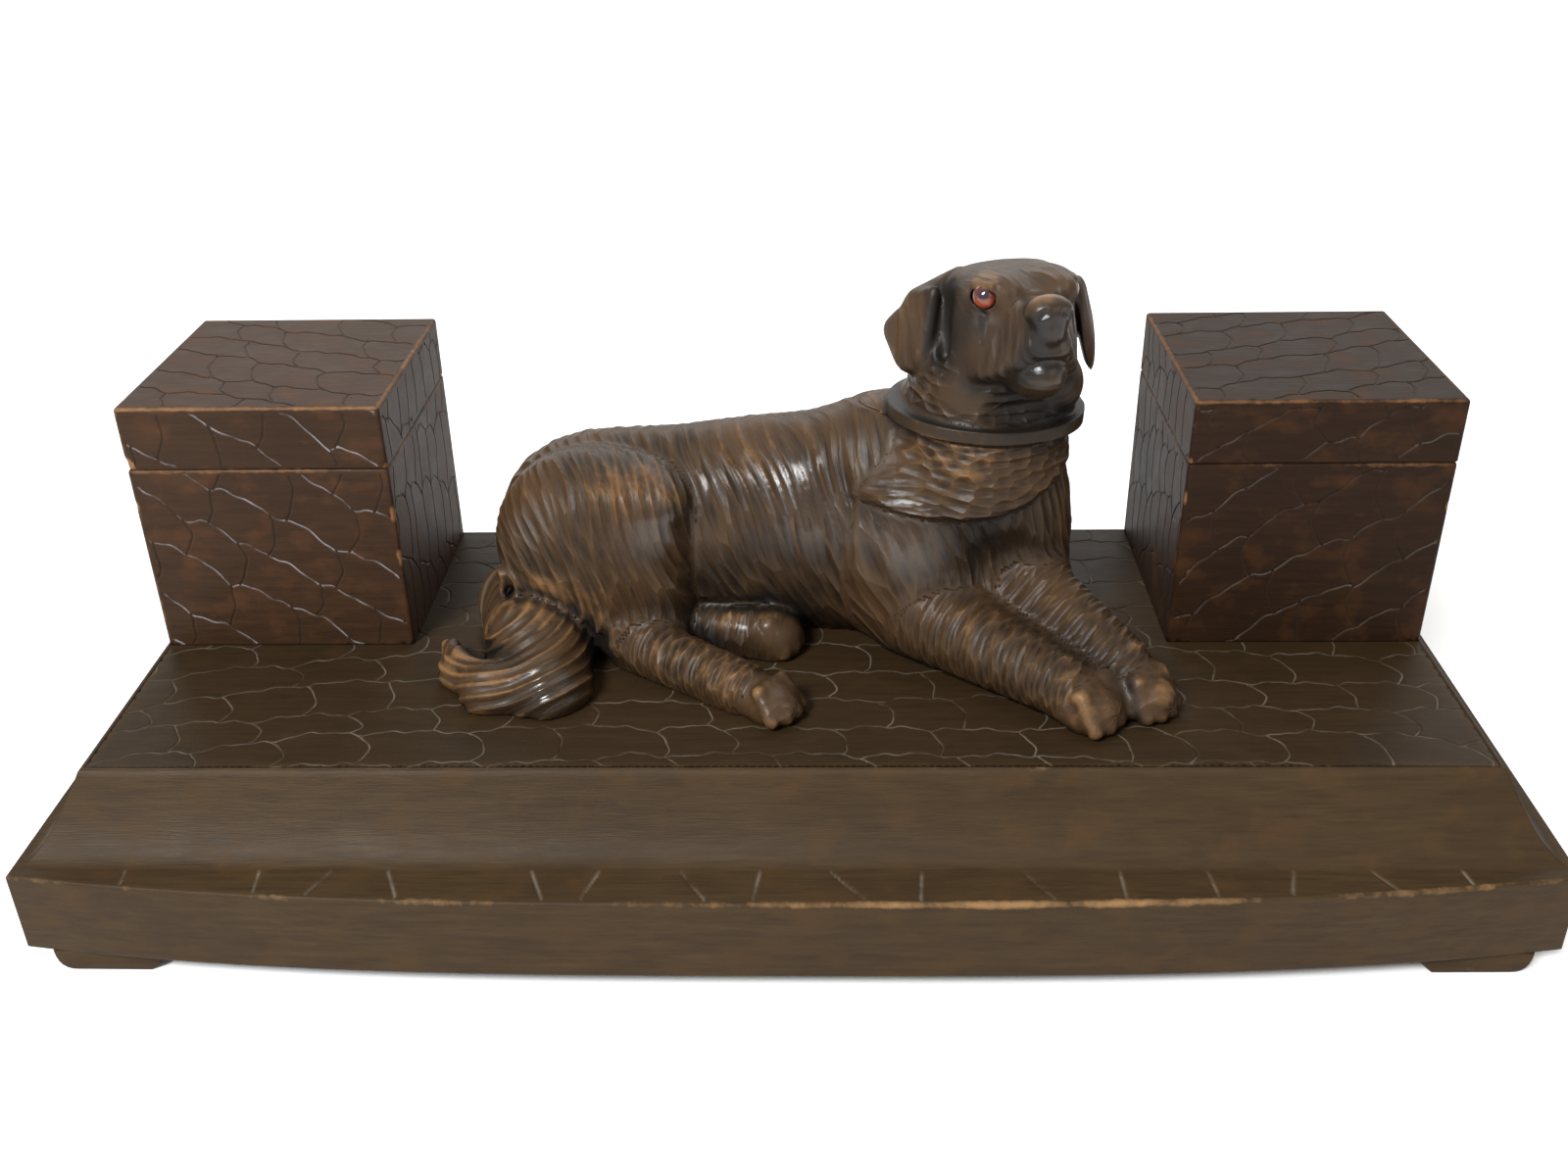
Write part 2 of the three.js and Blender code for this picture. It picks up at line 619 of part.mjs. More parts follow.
// Thins a closed mesh to a number of triangles: the edge whose loss moves the surface least
// goes first, and both its ends slide to the point that lies nearest all their faces' planes.
function thin(net, triangles) {
  const points = Float64Array.from(net.points);
  const faces = Uint32Array.from(net.faces);
  const pointCount = points.length / 3;
  const faceCount = faces.length / 3;
  const around = Array.from({ length: pointCount }, () => new Set());
  const planes = new Float64Array(pointCount * 10);
  const at = (i) => new THREE.Vector3(points[3 * i], points[3 * i + 1], points[3 * i + 2]);
  const corners = (f) => [faces[3 * f], faces[3 * f + 1], faces[3 * f + 2]];
  const cross = (a, b, c) => b.clone().sub(a).cross(c.clone().sub(a));
  for (let f = 0; f < faceCount; f++) {
    const [a, b, c] = corners(f);
    const normal = cross(at(a), at(b), at(c));
    const area = normal.length();
    normal.normalize();
    const plane = [normal.x, normal.y, normal.z, -normal.dot(at(a))];
    for (const corner of [a, b, c]) {
      around[corner].add(f);
      let k = corner * 10;
      for (let i = 0; i < 4; i++) {
        for (let j = i; j < 4; j++) planes[k++] += plane[i] * plane[j] * area;
      }
    }
  }
  const sum = (a, b) => Array.from({ length: 10 }, (_, k) => planes[a * 10 + k] + planes[b * 10 + k]);
  const error = (q, p) => q[0] * p.x * p.x + 2 * q[1] * p.x * p.y + 2 * q[2] * p.x * p.z
    + 2 * q[3] * p.x + q[4] * p.y * p.y + 2 * q[5] * p.y * p.z + 2 * q[6] * p.y
    + q[7] * p.z * p.z + 2 * q[8] * p.z + q[9];
  const stiffness = 1e-4;
  const flatness = 1e-4;
  const best = (a, b) => {
    const q = sum(a, b);
    const middle = at(a).add(at(b)).multiplyScalar(0.5);
    const matrix = new THREE.Matrix3().set(q[0], q[1], q[2], q[1], q[4], q[5], q[2], q[5], q[7]);
    const choices = [middle, at(a), at(b)];
    const size = q[0] + q[4] + q[7];
    if (Math.abs(matrix.determinant()) > flatness * size ** 3) {
      const point = new THREE.Vector3(-q[3], -q[6], -q[8]).applyMatrix3(matrix.invert());
      if (point.distanceTo(middle) < at(a).distanceTo(at(b))) choices.unshift(point);
    }
    const costs = choices.map((point) => error(q, point));
    const least = costs.indexOf(Math.min(...costs));
    const stiff = stiffness * at(a).distanceToSquared(at(b));
    return { cost: costs[least] + stiff, point: choices[least] };
  };
  const leastTurn = 0.25;
  const leastArea = 0.02;
  const version = new Uint32Array(pointCount);
  const heap = new Heap();
  const offer = (a, b) => {
    const { cost, point } = best(a, b);
    heap.push({ cost, a, b, point, stamp: version[a] + version[b] });
  };
  const neighbours = (a) => {
    const found = new Set();
    for (const f of around[a]) corners(f).forEach((corner) => found.add(corner));
    found.delete(a);
    return found;
  };
  for (let a = 0; a < pointCount; a++) {
    for (const b of neighbours(a)) if (a < b) offer(a, b);
  }
  const folds = (a, b, point) => [...around[a]].some((f) => {
    const ring = corners(f);
    if (ring.includes(b)) return false;
    const before = cross(...ring.map(at));
    const after = cross(...ring.map((corner) => (corner === a ? point : at(corner))));
    const turn = before.dot(after) / (before.length() * after.length());
    return turn < leastTurn || after.length() < leastArea;
  });
  let left = faceCount;
  while (left > triangles) {
    const edge = heap.pop();
    if (!edge) break;
    const { a, b, point, stamp } = edge;
    if (!around[a] || !around[b] || stamp !== version[a] + version[b]) continue;
    const beside = neighbours(b);
    const shared = [...neighbours(a)].filter((corner) => beside.has(corner));
    if (shared.length !== 2 || folds(a, b, point) || folds(b, a, point)) continue;
    points.set([point.x, point.y, point.z], 3 * a);
    sum(a, b).forEach((value, k) => { planes[a * 10 + k] = value; });
    for (const f of around[b]) {
      if (around[a].has(f)) {
        corners(f).forEach((corner) => around[corner].delete(f));
        left--;
      } else {
        for (let k = 0; k < 3; k++) if (faces[3 * f + k] === b) faces[3 * f + k] = a;
        around[a].add(f);
      }
    }
    around[b] = null;
    version[a]++;
    for (const c of neighbours(a)) offer(a, c);
  }
  const kept = [];
  const seen = new Set();
  around.forEach((set) => set && set.forEach((f) => seen.add(f)));
  seen.forEach((f) => kept.push(...corners(f)));
  return { points, faces: kept };
}

function meshOf(net) {
  const geometry = new THREE.BufferGeometry();
  geometry.setAttribute("position", new THREE.BufferAttribute(Float32Array.from(net.points), 3));
  geometry.setIndex(net.faces);
  return geometry;
}

// The dog is worked a little below its bed, then cut off flat on it. The eyes' sockets are
// bored last.
function dogSolid() {
  const bed = PLINTH_TOP;
  const low = [-106, -58, -6];
  const high = [112, 58, 118];
  const underside = -4;
  const mass = dogMass();
  const billet = (point) => Math.max(mass(point), underside - point[2]);
  const geometry = meshOf(thin(netOf(billet, low, high, DOG_STEP), DOG_TRIANGLES));
  geometry.translate(0, BOX_FRONT, bed);
  const waste = block([low[0], low[1], 0], [high[0], high[1], bed]);
  let solid = solidOf(geometry).subtract(waste);
  for (const side of [-1, 1]) solid = solid.subtract(solidOf(eyeBall(side, SOCKET_PLAY)));
  return solid;
}

function eyePlace(side) {
  const own = [EYE_AT[0], side * EYE_AT[1], EYE_AT[2]];
  const a = headAxes;
  const along = (k) => own[0] * a[k] + own[1] * a[3 + k] + own[2] * a[6 + k];
  return [
    HEAD_AT[0] + along(0),
    HEAD_AT[1] + along(1) + BOX_FRONT,
    HEAD_AT[2] + along(2) + PLINTH_TOP,
  ];
}

function eyeBall(side, extra = 0) {
  const ball = new THREE.SphereGeometry(EYE_RADIUS + extra, BALL_SIDES, BALL_RINGS);
  ball.translate(...eyePlace(side));
  return ball;
}

// Finishes

const stainedWood = (colour, roughness) => () => new THREE.MeshStandardMaterial({
  color: colour,
  roughness,
  metalness: 0,
});
const plinthWood = stainedWood(0x3a2a18, 0.45);
const boxWood = stainedWood(0x3b2412, 0.42);
const dogWood = stainedWood(0x4a3018, 0.4);
const amberGlass = () => new THREE.MeshStandardMaterial({
  color: 0xb4400c,
  roughness: 0.08,
  metalness: 0,
});

// The whole inkstand, each piece where it stands

const inkstand = new THREE.Group();
inkstand.name = "inkstand";

function place(name, geometry, material) {
  const mesh = new THREE.Mesh(geometry, material());
  mesh.name = name;
  inkstand.add(mesh);
}

place("plinth", geometryOf(plinthSolid()), plinthWood);
for (const [end, endSign] of [["left", -1], ["right", 1]]) {
  place(`foot_front_${end}`, geometryOf(footSolid(endSign, -1)), plinthWood);
  place(`foot_back_${end}`, geometryOf(footSolid(endSign, 1)), plinthWood);
  place(`${end}_box`, geometryOf(boxSolid(endSign * BOX_X)), boxWood);
  place(`${end}_lid`, geometryOf(lidSolid(endSign * BOX_X)), boxWood);
}
place("dog", geometryOf(dogSolid()), dogWood);
place("right_eye", eyeBall(-1), amberGlass);
place("left_eye", eyeBall(1), amberGlass);

export default inkstand;
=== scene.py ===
# Carved wooden inkstand, dressed for its picture: plinth, feet, two lidded ink boxes and the
# dog with its glass eyes. Lengths are millimetres in the shapes and become metres in the mesh.
import math

import bmesh
import bpy
import numpy as np
from mathutils import Matrix, Vector
from mathutils.geometry import delaunay_2d_cdt


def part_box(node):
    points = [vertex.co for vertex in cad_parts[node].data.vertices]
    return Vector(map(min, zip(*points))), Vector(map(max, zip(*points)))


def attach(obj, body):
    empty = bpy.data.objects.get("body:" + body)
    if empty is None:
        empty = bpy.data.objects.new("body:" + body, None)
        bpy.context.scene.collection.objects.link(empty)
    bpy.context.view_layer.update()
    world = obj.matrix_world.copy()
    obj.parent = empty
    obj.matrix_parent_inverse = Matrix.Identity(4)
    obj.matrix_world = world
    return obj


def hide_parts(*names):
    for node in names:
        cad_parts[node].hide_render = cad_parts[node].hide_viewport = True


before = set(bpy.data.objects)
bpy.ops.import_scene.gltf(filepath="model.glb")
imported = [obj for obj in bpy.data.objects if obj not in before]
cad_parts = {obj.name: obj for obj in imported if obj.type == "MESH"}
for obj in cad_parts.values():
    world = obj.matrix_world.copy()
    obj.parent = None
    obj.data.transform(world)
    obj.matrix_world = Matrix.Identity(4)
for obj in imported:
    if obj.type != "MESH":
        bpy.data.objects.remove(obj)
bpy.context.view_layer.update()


# PLINTH
# One thick plank of stained wood. A hollow moulding runs along its front and both ends, its
# front is bowed, and its top is cut with a crazy paving of shallow lines. The varnish is worn
# pale along the edges.

def box_mm(node):
    """The lowest and highest corner of a node of the frame, in millimetres."""
    low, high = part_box(node)
    return np.array(low) * 1000, np.array(high) * 1000


def length_of(values):
    """The lengths of the vectors along an array's last axis."""
    return np.sqrt((values * values).sum(-1))


def quarter_turn(count):
    """Even angles from 0 to a right angle."""
    return np.linspace(0, math.pi / 2, count)


def add_object(name, data):
    """A new object of the scene, at the origin."""
    thing = bpy.data.objects.new(name, data)
    bpy.context.scene.collection.objects.link(thing)
    return thing


def add_piece(name, points, faces, material, stands_for, marks, weld=0.0):
    """A piece that stands for a node, from an array of points in millimetres and a list of
    faces. marks holds one number for each point under each name that the material reads.
    Points that lie closer than weld become one, which closes the seams between sheets."""
    mesh = bpy.data.meshes.new(name)
    mesh.from_pydata((np.asarray(points) / 1000).tolist(), [], [list(f) for f in faces])
    for key, values in marks.items():
        layer = mesh.attributes.new(key, "FLOAT", "POINT")
        layer.data.foreach_set("value", np.asarray(values, np.float32))
    if weld:
        skin = bmesh.new()
        skin.from_mesh(mesh)
        bmesh.ops.remove_doubles(skin, verts=skin.verts, dist=weld / 1000)
        skin.to_mesh(mesh)
        skin.free()
    mesh.shade_smooth()
    mesh.materials.append(material)
    piece = add_object(name, mesh)
    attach(piece, "root")
    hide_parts(stands_for)
    return piece


CHIP_DEPTH = 0.45
BARE_WOOD = 0.9
WELD = 0.02


class Skin:
    """Points, faces and marks of the sheets that make one piece's skin, in order."""

    def __init__(self):
        self.points, self.faces, self.groove, self.edge = [], [], [], []
        self.count = 0

    def add(self, points, faces, groove=None, edge=None):
        """One more sheet. groove says how deep in a cut each of its points lies, and edge how
        worn it is."""
        points = np.asarray(points, float).reshape(-1, 3)
        self.points.append(points)
        self.faces.extend([[i + self.count for i in face] for face in faces])
        self.groove.append(np.zeros(len(points)) if groove is None else np.ravel(groove))
        self.edge.append(np.zeros(len(points)) if edge is None else np.ravel(edge))
        self.count += len(points)

    def cap(self, ring, flip=False):
        """One flat face over a ring of points."""
        face = list(range(len(ring)))
        self.add(ring, [face[::-1] if flip else face])

    def chip(self, at, inward, size):
        """Splinters a place: its points go inwards by how near they are, and lose their
        stain."""
        for points, edge in zip(self.points, self.edge):
            near = np.clip(1 - length_of(points - np.array(at)) / size, 0, 1)
            points += near[:, None] * np.array(inward) * size * CHIP_DEPTH
            edge[:] = np.maximum(edge, (near > 0) * (BARE_WOOD + near))

    def piece(self, name, material, slot, stands_for):
        """All the sheets, joined along their seams into the piece for a node."""
        marks = {"groove": np.concatenate(self.groove), "edge": np.concatenate(self.edge)}
        points = np.concatenate(self.points)
        add_piece(name, points, self.faces, material, stands_for, marks, WELD)


def grid_faces(rows, columns, closed=False):
    """The four-cornered faces of a grid of points, rows by columns, as a list. A closed grid
    joins its last column to its first."""
    wide = columns if closed else columns - 1
    r, c = np.meshgrid(np.arange(rows - 1), np.arange(wide), indexing="ij")
    n = (c + 1) % columns
    corners = [r * columns + c, r * columns + n, (r + 1) * columns + n, (r + 1) * columns + c]
    return np.stack(corners, -1).reshape(-1, 4).tolist()


LINE_STEP = 0.9
NODE_JITTER = 0.2
LEVEL_JITTER = 0.17
TREMBLE = (0.45, 1.7), (0.25, 0.9)
JOINT_TREMBLE = 0.35
FULL_TURN = 6.28


def scale_lines(width, height, course, pitch, drift, lean, bow, droop, seed):
    """Lines of an irregular paving of scales: the courses and the joints between them, each an
    array of points. Course j runs at the height j * course, plus the drift function of the
    place along it, plus an arc from each node to the next. From every node a joint runs down
    to the course below, leaning and bowed. Nodes lie a pitch apart, half a pitch off in every
    other course, and are jittered. The cutter's hand trembles a little in both kinds."""
    rng = np.random.default_rng(seed)
    along = np.arange(-pitch, width + pitch, LINE_STEP)
    rise = drift(along)
    first = int(np.floor((-rise.max() - course) / course)) - 1
    last = int(np.ceil((height - rise.min()) / course)) + 1
    courses, joints, below = [], [], None
    for j in range(first, last + 1):
        count = int(np.ceil(width / pitch)) + 5
        nodes = (np.arange(count) - 2 + 0.5 * (j % 2)) * pitch
        nodes = nodes + rng.uniform(-NODE_JITTER, NODE_JITTER, count) * pitch
        lift = rng.uniform(-LEVEL_JITTER, LEVEL_JITTER, count) * course
        k = np.clip(np.searchsorted(nodes, along) - 1, 0, count - 2)
        part = np.clip((along - nodes[k]) / (nodes[k + 1] - nodes[k]), 0, 1)
        arc = droop * rng.uniform(0.4, 1.3, count)[k] * 4 * part * (1 - part)
        level = j * course + rise + np.interp(along, nodes, lift) + arc
        for (size, reach), start in zip(TREMBLE, rng.uniform(0, FULL_TURN, 2)):
            level = level + size * np.sin(along / reach + start)
        courses.append(np.stack([along, level], 1))
        if below is not None:
            for x in nodes:
                reach = lean * rng.uniform(0.6, 1.4)
                start = np.interp(x, along, level)
                end = np.interp(x + reach, along, below)
                t = np.linspace(0, 1, max(6, int(course / LINE_STEP)))
                side = x + reach * t + bow * rng.uniform(0.5, 1.4) * 4 * t * (1 - t)
                tremble = np.sin(9 * t + rng.uniform(0, FULL_TURN)) * np.sin(math.pi * t)
                side = side + JOINT_TREMBLE * tremble
                joints.append(np.stack([side, start + (end - start) * t], 1))
        below = level
    return courses, joints


LINE_DEPTH = 0.4
LINE_HALF = 0.32
LINE_REST = 0.3
LINE_CLEAR = 0.3
SHEET_STEP = 4.0
SHEET_CLEAR = 2.0
RIM_STEP = 2.0
HEM_ROWS = 0.5, 1.1, 2.0
HEM_CLEAR = 0.35
AT_ONCE = 1500


def stations(width, height, step):
    """Even stations along the two sides of a sheet, no more than a step apart."""
    cells = np.ceil(np.array([width, height]) / step).astype(int)
    return [np.linspace(0, end, n + 1) for end, n in zip((width, height), cells)]


def level_row(xs, y):
    """Points at the stations xs, all at the height y."""
    return np.stack([xs, np.full_like(xs, y)], 1)


def upright_row(x, ys):
    """Points at the stations ys, all at the place x."""
    return np.stack([np.full_like(ys, x), ys], 1)


def sheet_lines(width, height, courses, joints, tones):
    """The points of the lines that lie in the sheet, each line's tone at its points, the pairs
    of points that follow each other on a line, and the rows beside the lines: one at the cut's
    edge and one a little further out, on both sides."""
    inside = lambda p: ((p > LINE_CLEAR) & (p < np.array([width, height]) - LINE_CLEAR)).all(1)
    middle, tone, pairs, beside = [], [], [], []
    total = 0
    for line, colour in [(c, tones[0]) for c in courses] + [(j, tones[1]) for j in joints]:
        way = np.gradient(line, axis=0)
        way /= length_of(way)[:, None] + 1e-9
        across = np.stack([-way[:, 1], way[:, 0]], 1)
        for reach in (LINE_HALF, -LINE_HALF, LINE_HALF + LINE_REST, -LINE_HALF - LINE_REST):
            side = line + across * reach
            beside.append(side[inside(side)])
        keep = inside(line)
        index = np.cumsum(keep) - 1 + total
        joined = keep[:-1] & keep[1:]
        pairs.append(np.stack([index[:-1][joined], index[1:][joined]], 1))
        middle.append(line[keep])
        tone.append(np.full(keep.sum(), colour))
        total += int(keep.sum())
    return [np.concatenate(rows) for rows in (middle, tone, pairs, beside)]


def sheet_hem(width, height, middle):
    """Rows of points just inside the sheet's sides, clear of the lines."""
    xs, ys = stations(width, height, RIM_STEP)
    xs = xs[(xs > HEM_ROWS[-1]) & (xs < width - HEM_ROWS[-1])]
    ys = ys[(ys > HEM_ROWS[-1]) & (ys < height - HEM_ROWS[-1])]
    rows = []
    for inset in HEM_ROWS:
        right, upper = width - inset, height - inset
        rows += [level_row(xs, inset), level_row(xs, upper), upright_row(inset, ys),
                 upright_row(right, ys),
                 np.array([[inset, inset], [right, inset], [inset, upper], [right, upper]])]
    rows = np.concatenate(rows)
    return rows[length_of(rows[:, None] - middle[::2][None]).min(1) > HEM_CLEAR]


def nearest_of(points, middle):
    """How far each point lies from the nearest of the lines' points, and which one that is."""
    gap, nearest = np.empty(len(points)), np.empty(len(points), int)
    for start in range(0, len(points), AT_ONCE):
        part = slice(start, start + AT_ONCE)
        away = ((points[part, None] - middle[None]) ** 2).sum(2)
        nearest[part] = away.argmin(1)
        gap[part] = np.sqrt(away.min(1))
    return gap, nearest


def incised_sheet(width, height, courses, joints, fade, tones, rim_cells=None):
    """A flat sheet from (0, 0) to (width, height) with V-shaped cuts along the lines. Its
    points are the lines' own, the rows beside them, the sheet's rim and hem, and an even
    sprinkling. A point lies below the sheet by the cut's depth, less the more it is away from
    the nearest line, and the cuts fade out over the given length at the sheet's edges. Returns
    the points, the faces, and how deep in a cut each point lies, times the tone of that kind of
    line: above 0 for a pale cut and below 0 for a dark one."""
    middle, tone, pairs, beside = sheet_lines(width, height, courses, joints, tones)
    xs, ys = stations(width, height, SHEET_STEP)
    sprinkle = np.stack(np.meshgrid(xs[1:-1], ys[1:-1]), -1).reshape(-1, 2)
    sprinkle = sprinkle[length_of(sprinkle[:, None] - middle[::3][None]).min(1) > SHEET_CLEAR]
    xs, ys = stations(width, height, RIM_STEP)
    if rim_cells:
        xs, ys = (np.linspace(0, end, n + 1) for end, n in zip((width, height), rim_cells))
    rim = np.concatenate([level_row(xs[:-1], 0), upright_row(width, ys[:-1]),
                          level_row(xs[:0:-1], height), upright_row(0, ys[:0:-1])])
    ring = np.arange(len(rim)) + len(middle)
    pairs = np.concatenate([pairs, np.stack([ring, np.roll(ring, -1)], 1)])
    flat = np.concatenate([middle, rim, beside, sheet_hem(width, height, middle), sprinkle])
    out = delaunay_2d_cdt([Vector(p) for p in flat.tolist()], pairs.tolist(), [], 0, 1e-3)
    points = np.array([tuple(p) for p in out[0]])
    gap, nearest = nearest_of(points, middle)
    border = np.minimum(points, [width, height] - points).min(1)
    deep = np.clip(1 - gap / (LINE_HALF * 0.95), 0, 1) * np.clip(border / fade, 0, 1)
    faces = [list(face) for face in out[2]]
    return np.column_stack([points, -LINE_DEPTH * deep]), faces, deep * tone[nearest]


def node_group(name, inputs, outputs):
    """An empty shader node group with named sockets, and its two end nodes."""
    group = bpy.data.node_groups.new(name, "ShaderNodeTree")
    for label, kind, value in inputs:
        socket = group.interface.new_socket(label, in_out="INPUT", socket_type=kind)
        if value is not None:
            socket.default_value = value
    for label, kind in outputs:
        group.interface.new_socket(label, in_out="OUTPUT", socket_type=kind)
    return group, group.nodes.new("NodeGroupInput"), group.nodes.new("NodeGroupOutput")


class Paint:
    """Short words for the nodes of one shader tree. Values may be numbers, colour triples or
    the sockets of other nodes, and each word gives back the new node's output."""

    def __init__(self, tree):
        self.tree = tree

    def feed(self, socket, value):
        if isinstance(value, bpy.types.NodeSocket):
            self.tree.links.new(value, socket)
        elif isinstance(value, tuple) and len(value) < len(socket.default_value):
            socket.default_value = (*value, 1.0)
        else:
            socket.default_value = value

    def node(self, kind, **inputs):
        """A new node with its named inputs fed; an underscore stands for a space."""
        node = self.tree.nodes.new(kind)
        for name, value in inputs.items():
            self.feed(node.inputs[name.replace("_", " ")], value)
        return node

    def noise(self, vector, scale, detail=4.0, roughness=0.55, distortion=0.0):
        return self.node("ShaderNodeTexNoise", Vector=vector, Scale=scale, Detail=detail,
                         Roughness=roughness, Distortion=distortion).outputs["Fac"]

    def maths(self, kind, *values, clamp=False):
        """One step of arithmetic."""
        node = self.tree.nodes.new("ShaderNodeMath")
        node.operation = kind
        node.use_clamp = clamp
        for socket, value in zip(node.inputs, values):
            self.feed(socket, value)
        return node.outputs[0]

    def add(self, a, b, clamp=False):
        return self.maths("ADD", a, b, clamp=clamp)

    def less(self, a, b):
        return self.maths("SUBTRACT", a, b)

    def times(self, a, b, clamp=False):
        return self.maths("MULTIPLY", a, b, clamp=clamp)

    def blend(self, factor, a, b):
        """A mix of two colours: the first where the factor is 0 and the second where it is 1."""
        node = self.tree.nodes.new("ShaderNodeMix")
        node.data_type = "RGBA"
        for place, value in ((0, factor), (6, a), (7, b)):
            self.feed(node.inputs[place], value)
        return node.outputs[2]

    def spread(self, value, low, high):
        """Stretches a value so that low becomes 0 and high becomes 1, clamped."""
        return self.node("ShaderNodeMapRange", Value=value, From_Min=low,
                         From_Max=high).outputs["Result"]

    def stretched(self, vector, scale):
        """The vector with each axis stretched by its own factor."""
        return self.node("ShaderNodeMapping", Vector=vector, Scale=scale).outputs["Vector"]

    def group(self, group, **inputs):
        """A shared effect, placed with its own values."""
        node = self.tree.nodes.new("ShaderNodeGroup")
        node.node_tree = group
        for name, value in inputs.items():
            self.feed(node.inputs[name], value)
        return node.outputs

    def mark(self, name):
        """The piece's own mark of that name."""
        node = self.tree.nodes.new("ShaderNodeAttribute")
        node.attribute_name = name
        return node.outputs

    def place(self):
        return self.tree.nodes.new("ShaderNodeTexCoord").outputs["Object"]

    def bump(self, height, strength, distance, shader):
        """Feeds a shader's normal with a height, in the distance's metres."""
        node = self.node("ShaderNodeBump", Height=height, Strength=strength, Distance=distance)
        self.feed(shader.inputs["Normal"], node.outputs["Normal"])


def new_paint(name):
    """A material with its own nodes, the words for them, and its shader."""
    material = bpy.data.materials.new(name)
    material.use_nodes = True
    tree = material.node_tree
    return material, Paint(tree), tree.nodes["Principled BSDF"]


def grain_group():
    """Fine streaks and pores of old varnished wood: noise drawn out along the grain. Puts out
    the streaks, the blotches of uneven stain, and a height for the bump."""
    group, start, end = node_group(
        "wood grain",
        [("Vector", "NodeSocketVector", None)],
        [("Streaks", "NodeSocketFloat"), ("Blotches", "NodeSocketFloat"),
         ("Height", "NodeSocketFloat")],
    )
    wood, place = Paint(group), start.outputs["Vector"]
    streaks = wood.noise(wood.stretched(place, (55, 620, 620)), 1.0, 6, 0.62, 0.2)
    pores = wood.noise(wood.stretched(place, (160, 2600, 2600)), 1.0, 3, 0.5)
    blotches = wood.noise(wood.stretched(place, (85, 120, 120)), 1.0, 4, 0.55)
    wood.feed(end.inputs["Streaks"], streaks)
    wood.feed(end.inputs["Blotches"], blotches)
    wood.feed(end.inputs["Height"], wood.add(wood.times(streaks, 0.5), pores))
    return group


def wear_group():
    """Where an edge has lost its stain: the edge mark, broken up by noise at two sizes, cut
    off at a threshold that the amount moves."""
    group, start, end = node_group(
        "edge wear",
        [("Vector", "NodeSocketVector", None), ("Edge", "NodeSocketFloat", 0.0),
         ("Amount", "NodeSocketFloat", 0.5)],
        [("Mask", "NodeSocketFloat")],
    )
    wood, place = Paint(group), start.outputs["Vector"]
    coarse = wood.noise(place, 55.0, 4, 0.6)
    fine = wood.noise(place, 420.0, 3, 0.6)
    rough = wood.add(wood.times(coarse, 1.3), wood.times(fine, 0.7))
    level = wood.add(wood.less(rough, 2.0), start.outputs["Amount"])
    raw = wood.add(start.outputs["Edge"], level)
    wood.feed(end.inputs["Mask"], wood.spread(raw, 0.0, 0.55))
    return group


GRAIN = grain_group()
WEAR = wear_group()


def stained_wood(name, dark, light, blotch, worn, line, amount, roughness, bump, shine):
    """Stained and varnished wood: a dark and a lighter stain mixed by the streaks, reddish
    blotches, pale wear on the edges, and the cut lines pale or dark as they are marked. The pale
    lines on the boxes are a painted highlight, where a cut's facet catches the light. An edge mark
    below 0 mixes in a darker copy of the stain as painted shade."""
    material, wood, shader = new_paint(name)
    place = wood.place()
    edge = wood.mark("edge")["Fac"]
    cut = wood.mark("groove")["Fac"]
    grain = wood.group(GRAIN, Vector=place)
    wear = wood.group(WEAR, Vector=place, Edge=edge, Amount=amount)
    colour = wood.blend(wood.spread(grain["Streaks"], 0.3, 0.72), dark, light)
    clouds = wood.spread(wood.noise(place, 26.0, 3, 0.5), 0.35, 0.65)
    colour = wood.blend(wood.times(clouds, 0.55), colour, dark)
    colour = wood.blend(wood.spread(grain["Blotches"], 0.52, 0.72), colour, blotch)
    painted_shade_colour = tuple(0.35 * value for value in dark)
    # Painted shade: a darker copy of the stain where the edge mark is below 0, as on the plinth's
    # top.
    colour = wood.blend(wood.times(edge, -1.0, clamp=True), colour, painted_shade_colour)
    colour = wood.blend(wood.times(wear["Mask"], 0.9), colour, worn)
    # Pale cut lines, broken by noise: on the boxes a painted highlight of the cut's lit facet.
    fades = wood.add(wood.noise(place, 160.0, 3, 0.6), wood.noise(place, 48.0, 3, 0.6))
    pale = wood.times(cut, wood.spread(fades, 0.78, 1.2), clamp=True)
    deep = wood.times(cut, -0.85, clamp=True)
    colour = wood.blend(pale, colour, line)
    colour = wood.blend(deep, colour, (0.02, 0.014, 0.009))
    wood.feed(shader.inputs["Base Color"], colour)
    gloss = wood.add(wood.times(grain["Blotches"], 0.25), roughness)
    wood.feed(shader.inputs["Roughness"], gloss)
    wood.feed(shader.inputs["Specular IOR Level"], shine)
    wood.bump(grain["Height"], bump, 0.0004, shader)
    return material


FASCIA = 24.0
BOW = 10.5
BOW_POWER = 3
END_FILLET = 1.8
FRONT_FILLET = 3.0
COVE_REACH = 14.7
COVE_PULL = 8.9, 19.7
UNDER_ROUND = 0.8
WORN_ROUND = 0.7
CUT_HALF = 0.6
FRONT_STATIONS = 1000
SIDE_STATIONS = 40
TURN_ROWS = 5
FASCIA_ROWS = 6
FILLET_ROWS = 10
COVE_ROWS = 20

# The last rows, from the hollow's lip onto the top: how far back down the hollow's run each
# lies, as a share of it, how far below the top, and how worn it is.
LIP_ROWS = (0.012, 0.35, 0.3), (-0.02, 0.08, 0.4), (-0.07, 0, 0.3)

plinth_low, plinth_high = box_mm("plinth")
half, back, top = plinth_high
fascia_top = plinth_low[2] + FASCIA
front_corner = plinth_low[1] + BOW
foot_half, foot_front = half - END_FILLET, front_corner + FRONT_FILLET
lip_half, lip_front = foot_half - COVE_REACH, foot_front + COVE_REACH

# Short cuts across the fillet: where each ends on the hollow's side and where on the arris.
FILLET_CUTS = [(-170, -169), (-135, -134), (-116, -121), (-102, -97), (-65, -60), (-47, -51),
               (-27, -19), (-6, -8), (11, 21), (35, 34), (60, 68), (85, 85), (107, 108),
               (129, 126), (148, 153), (171, 172)]


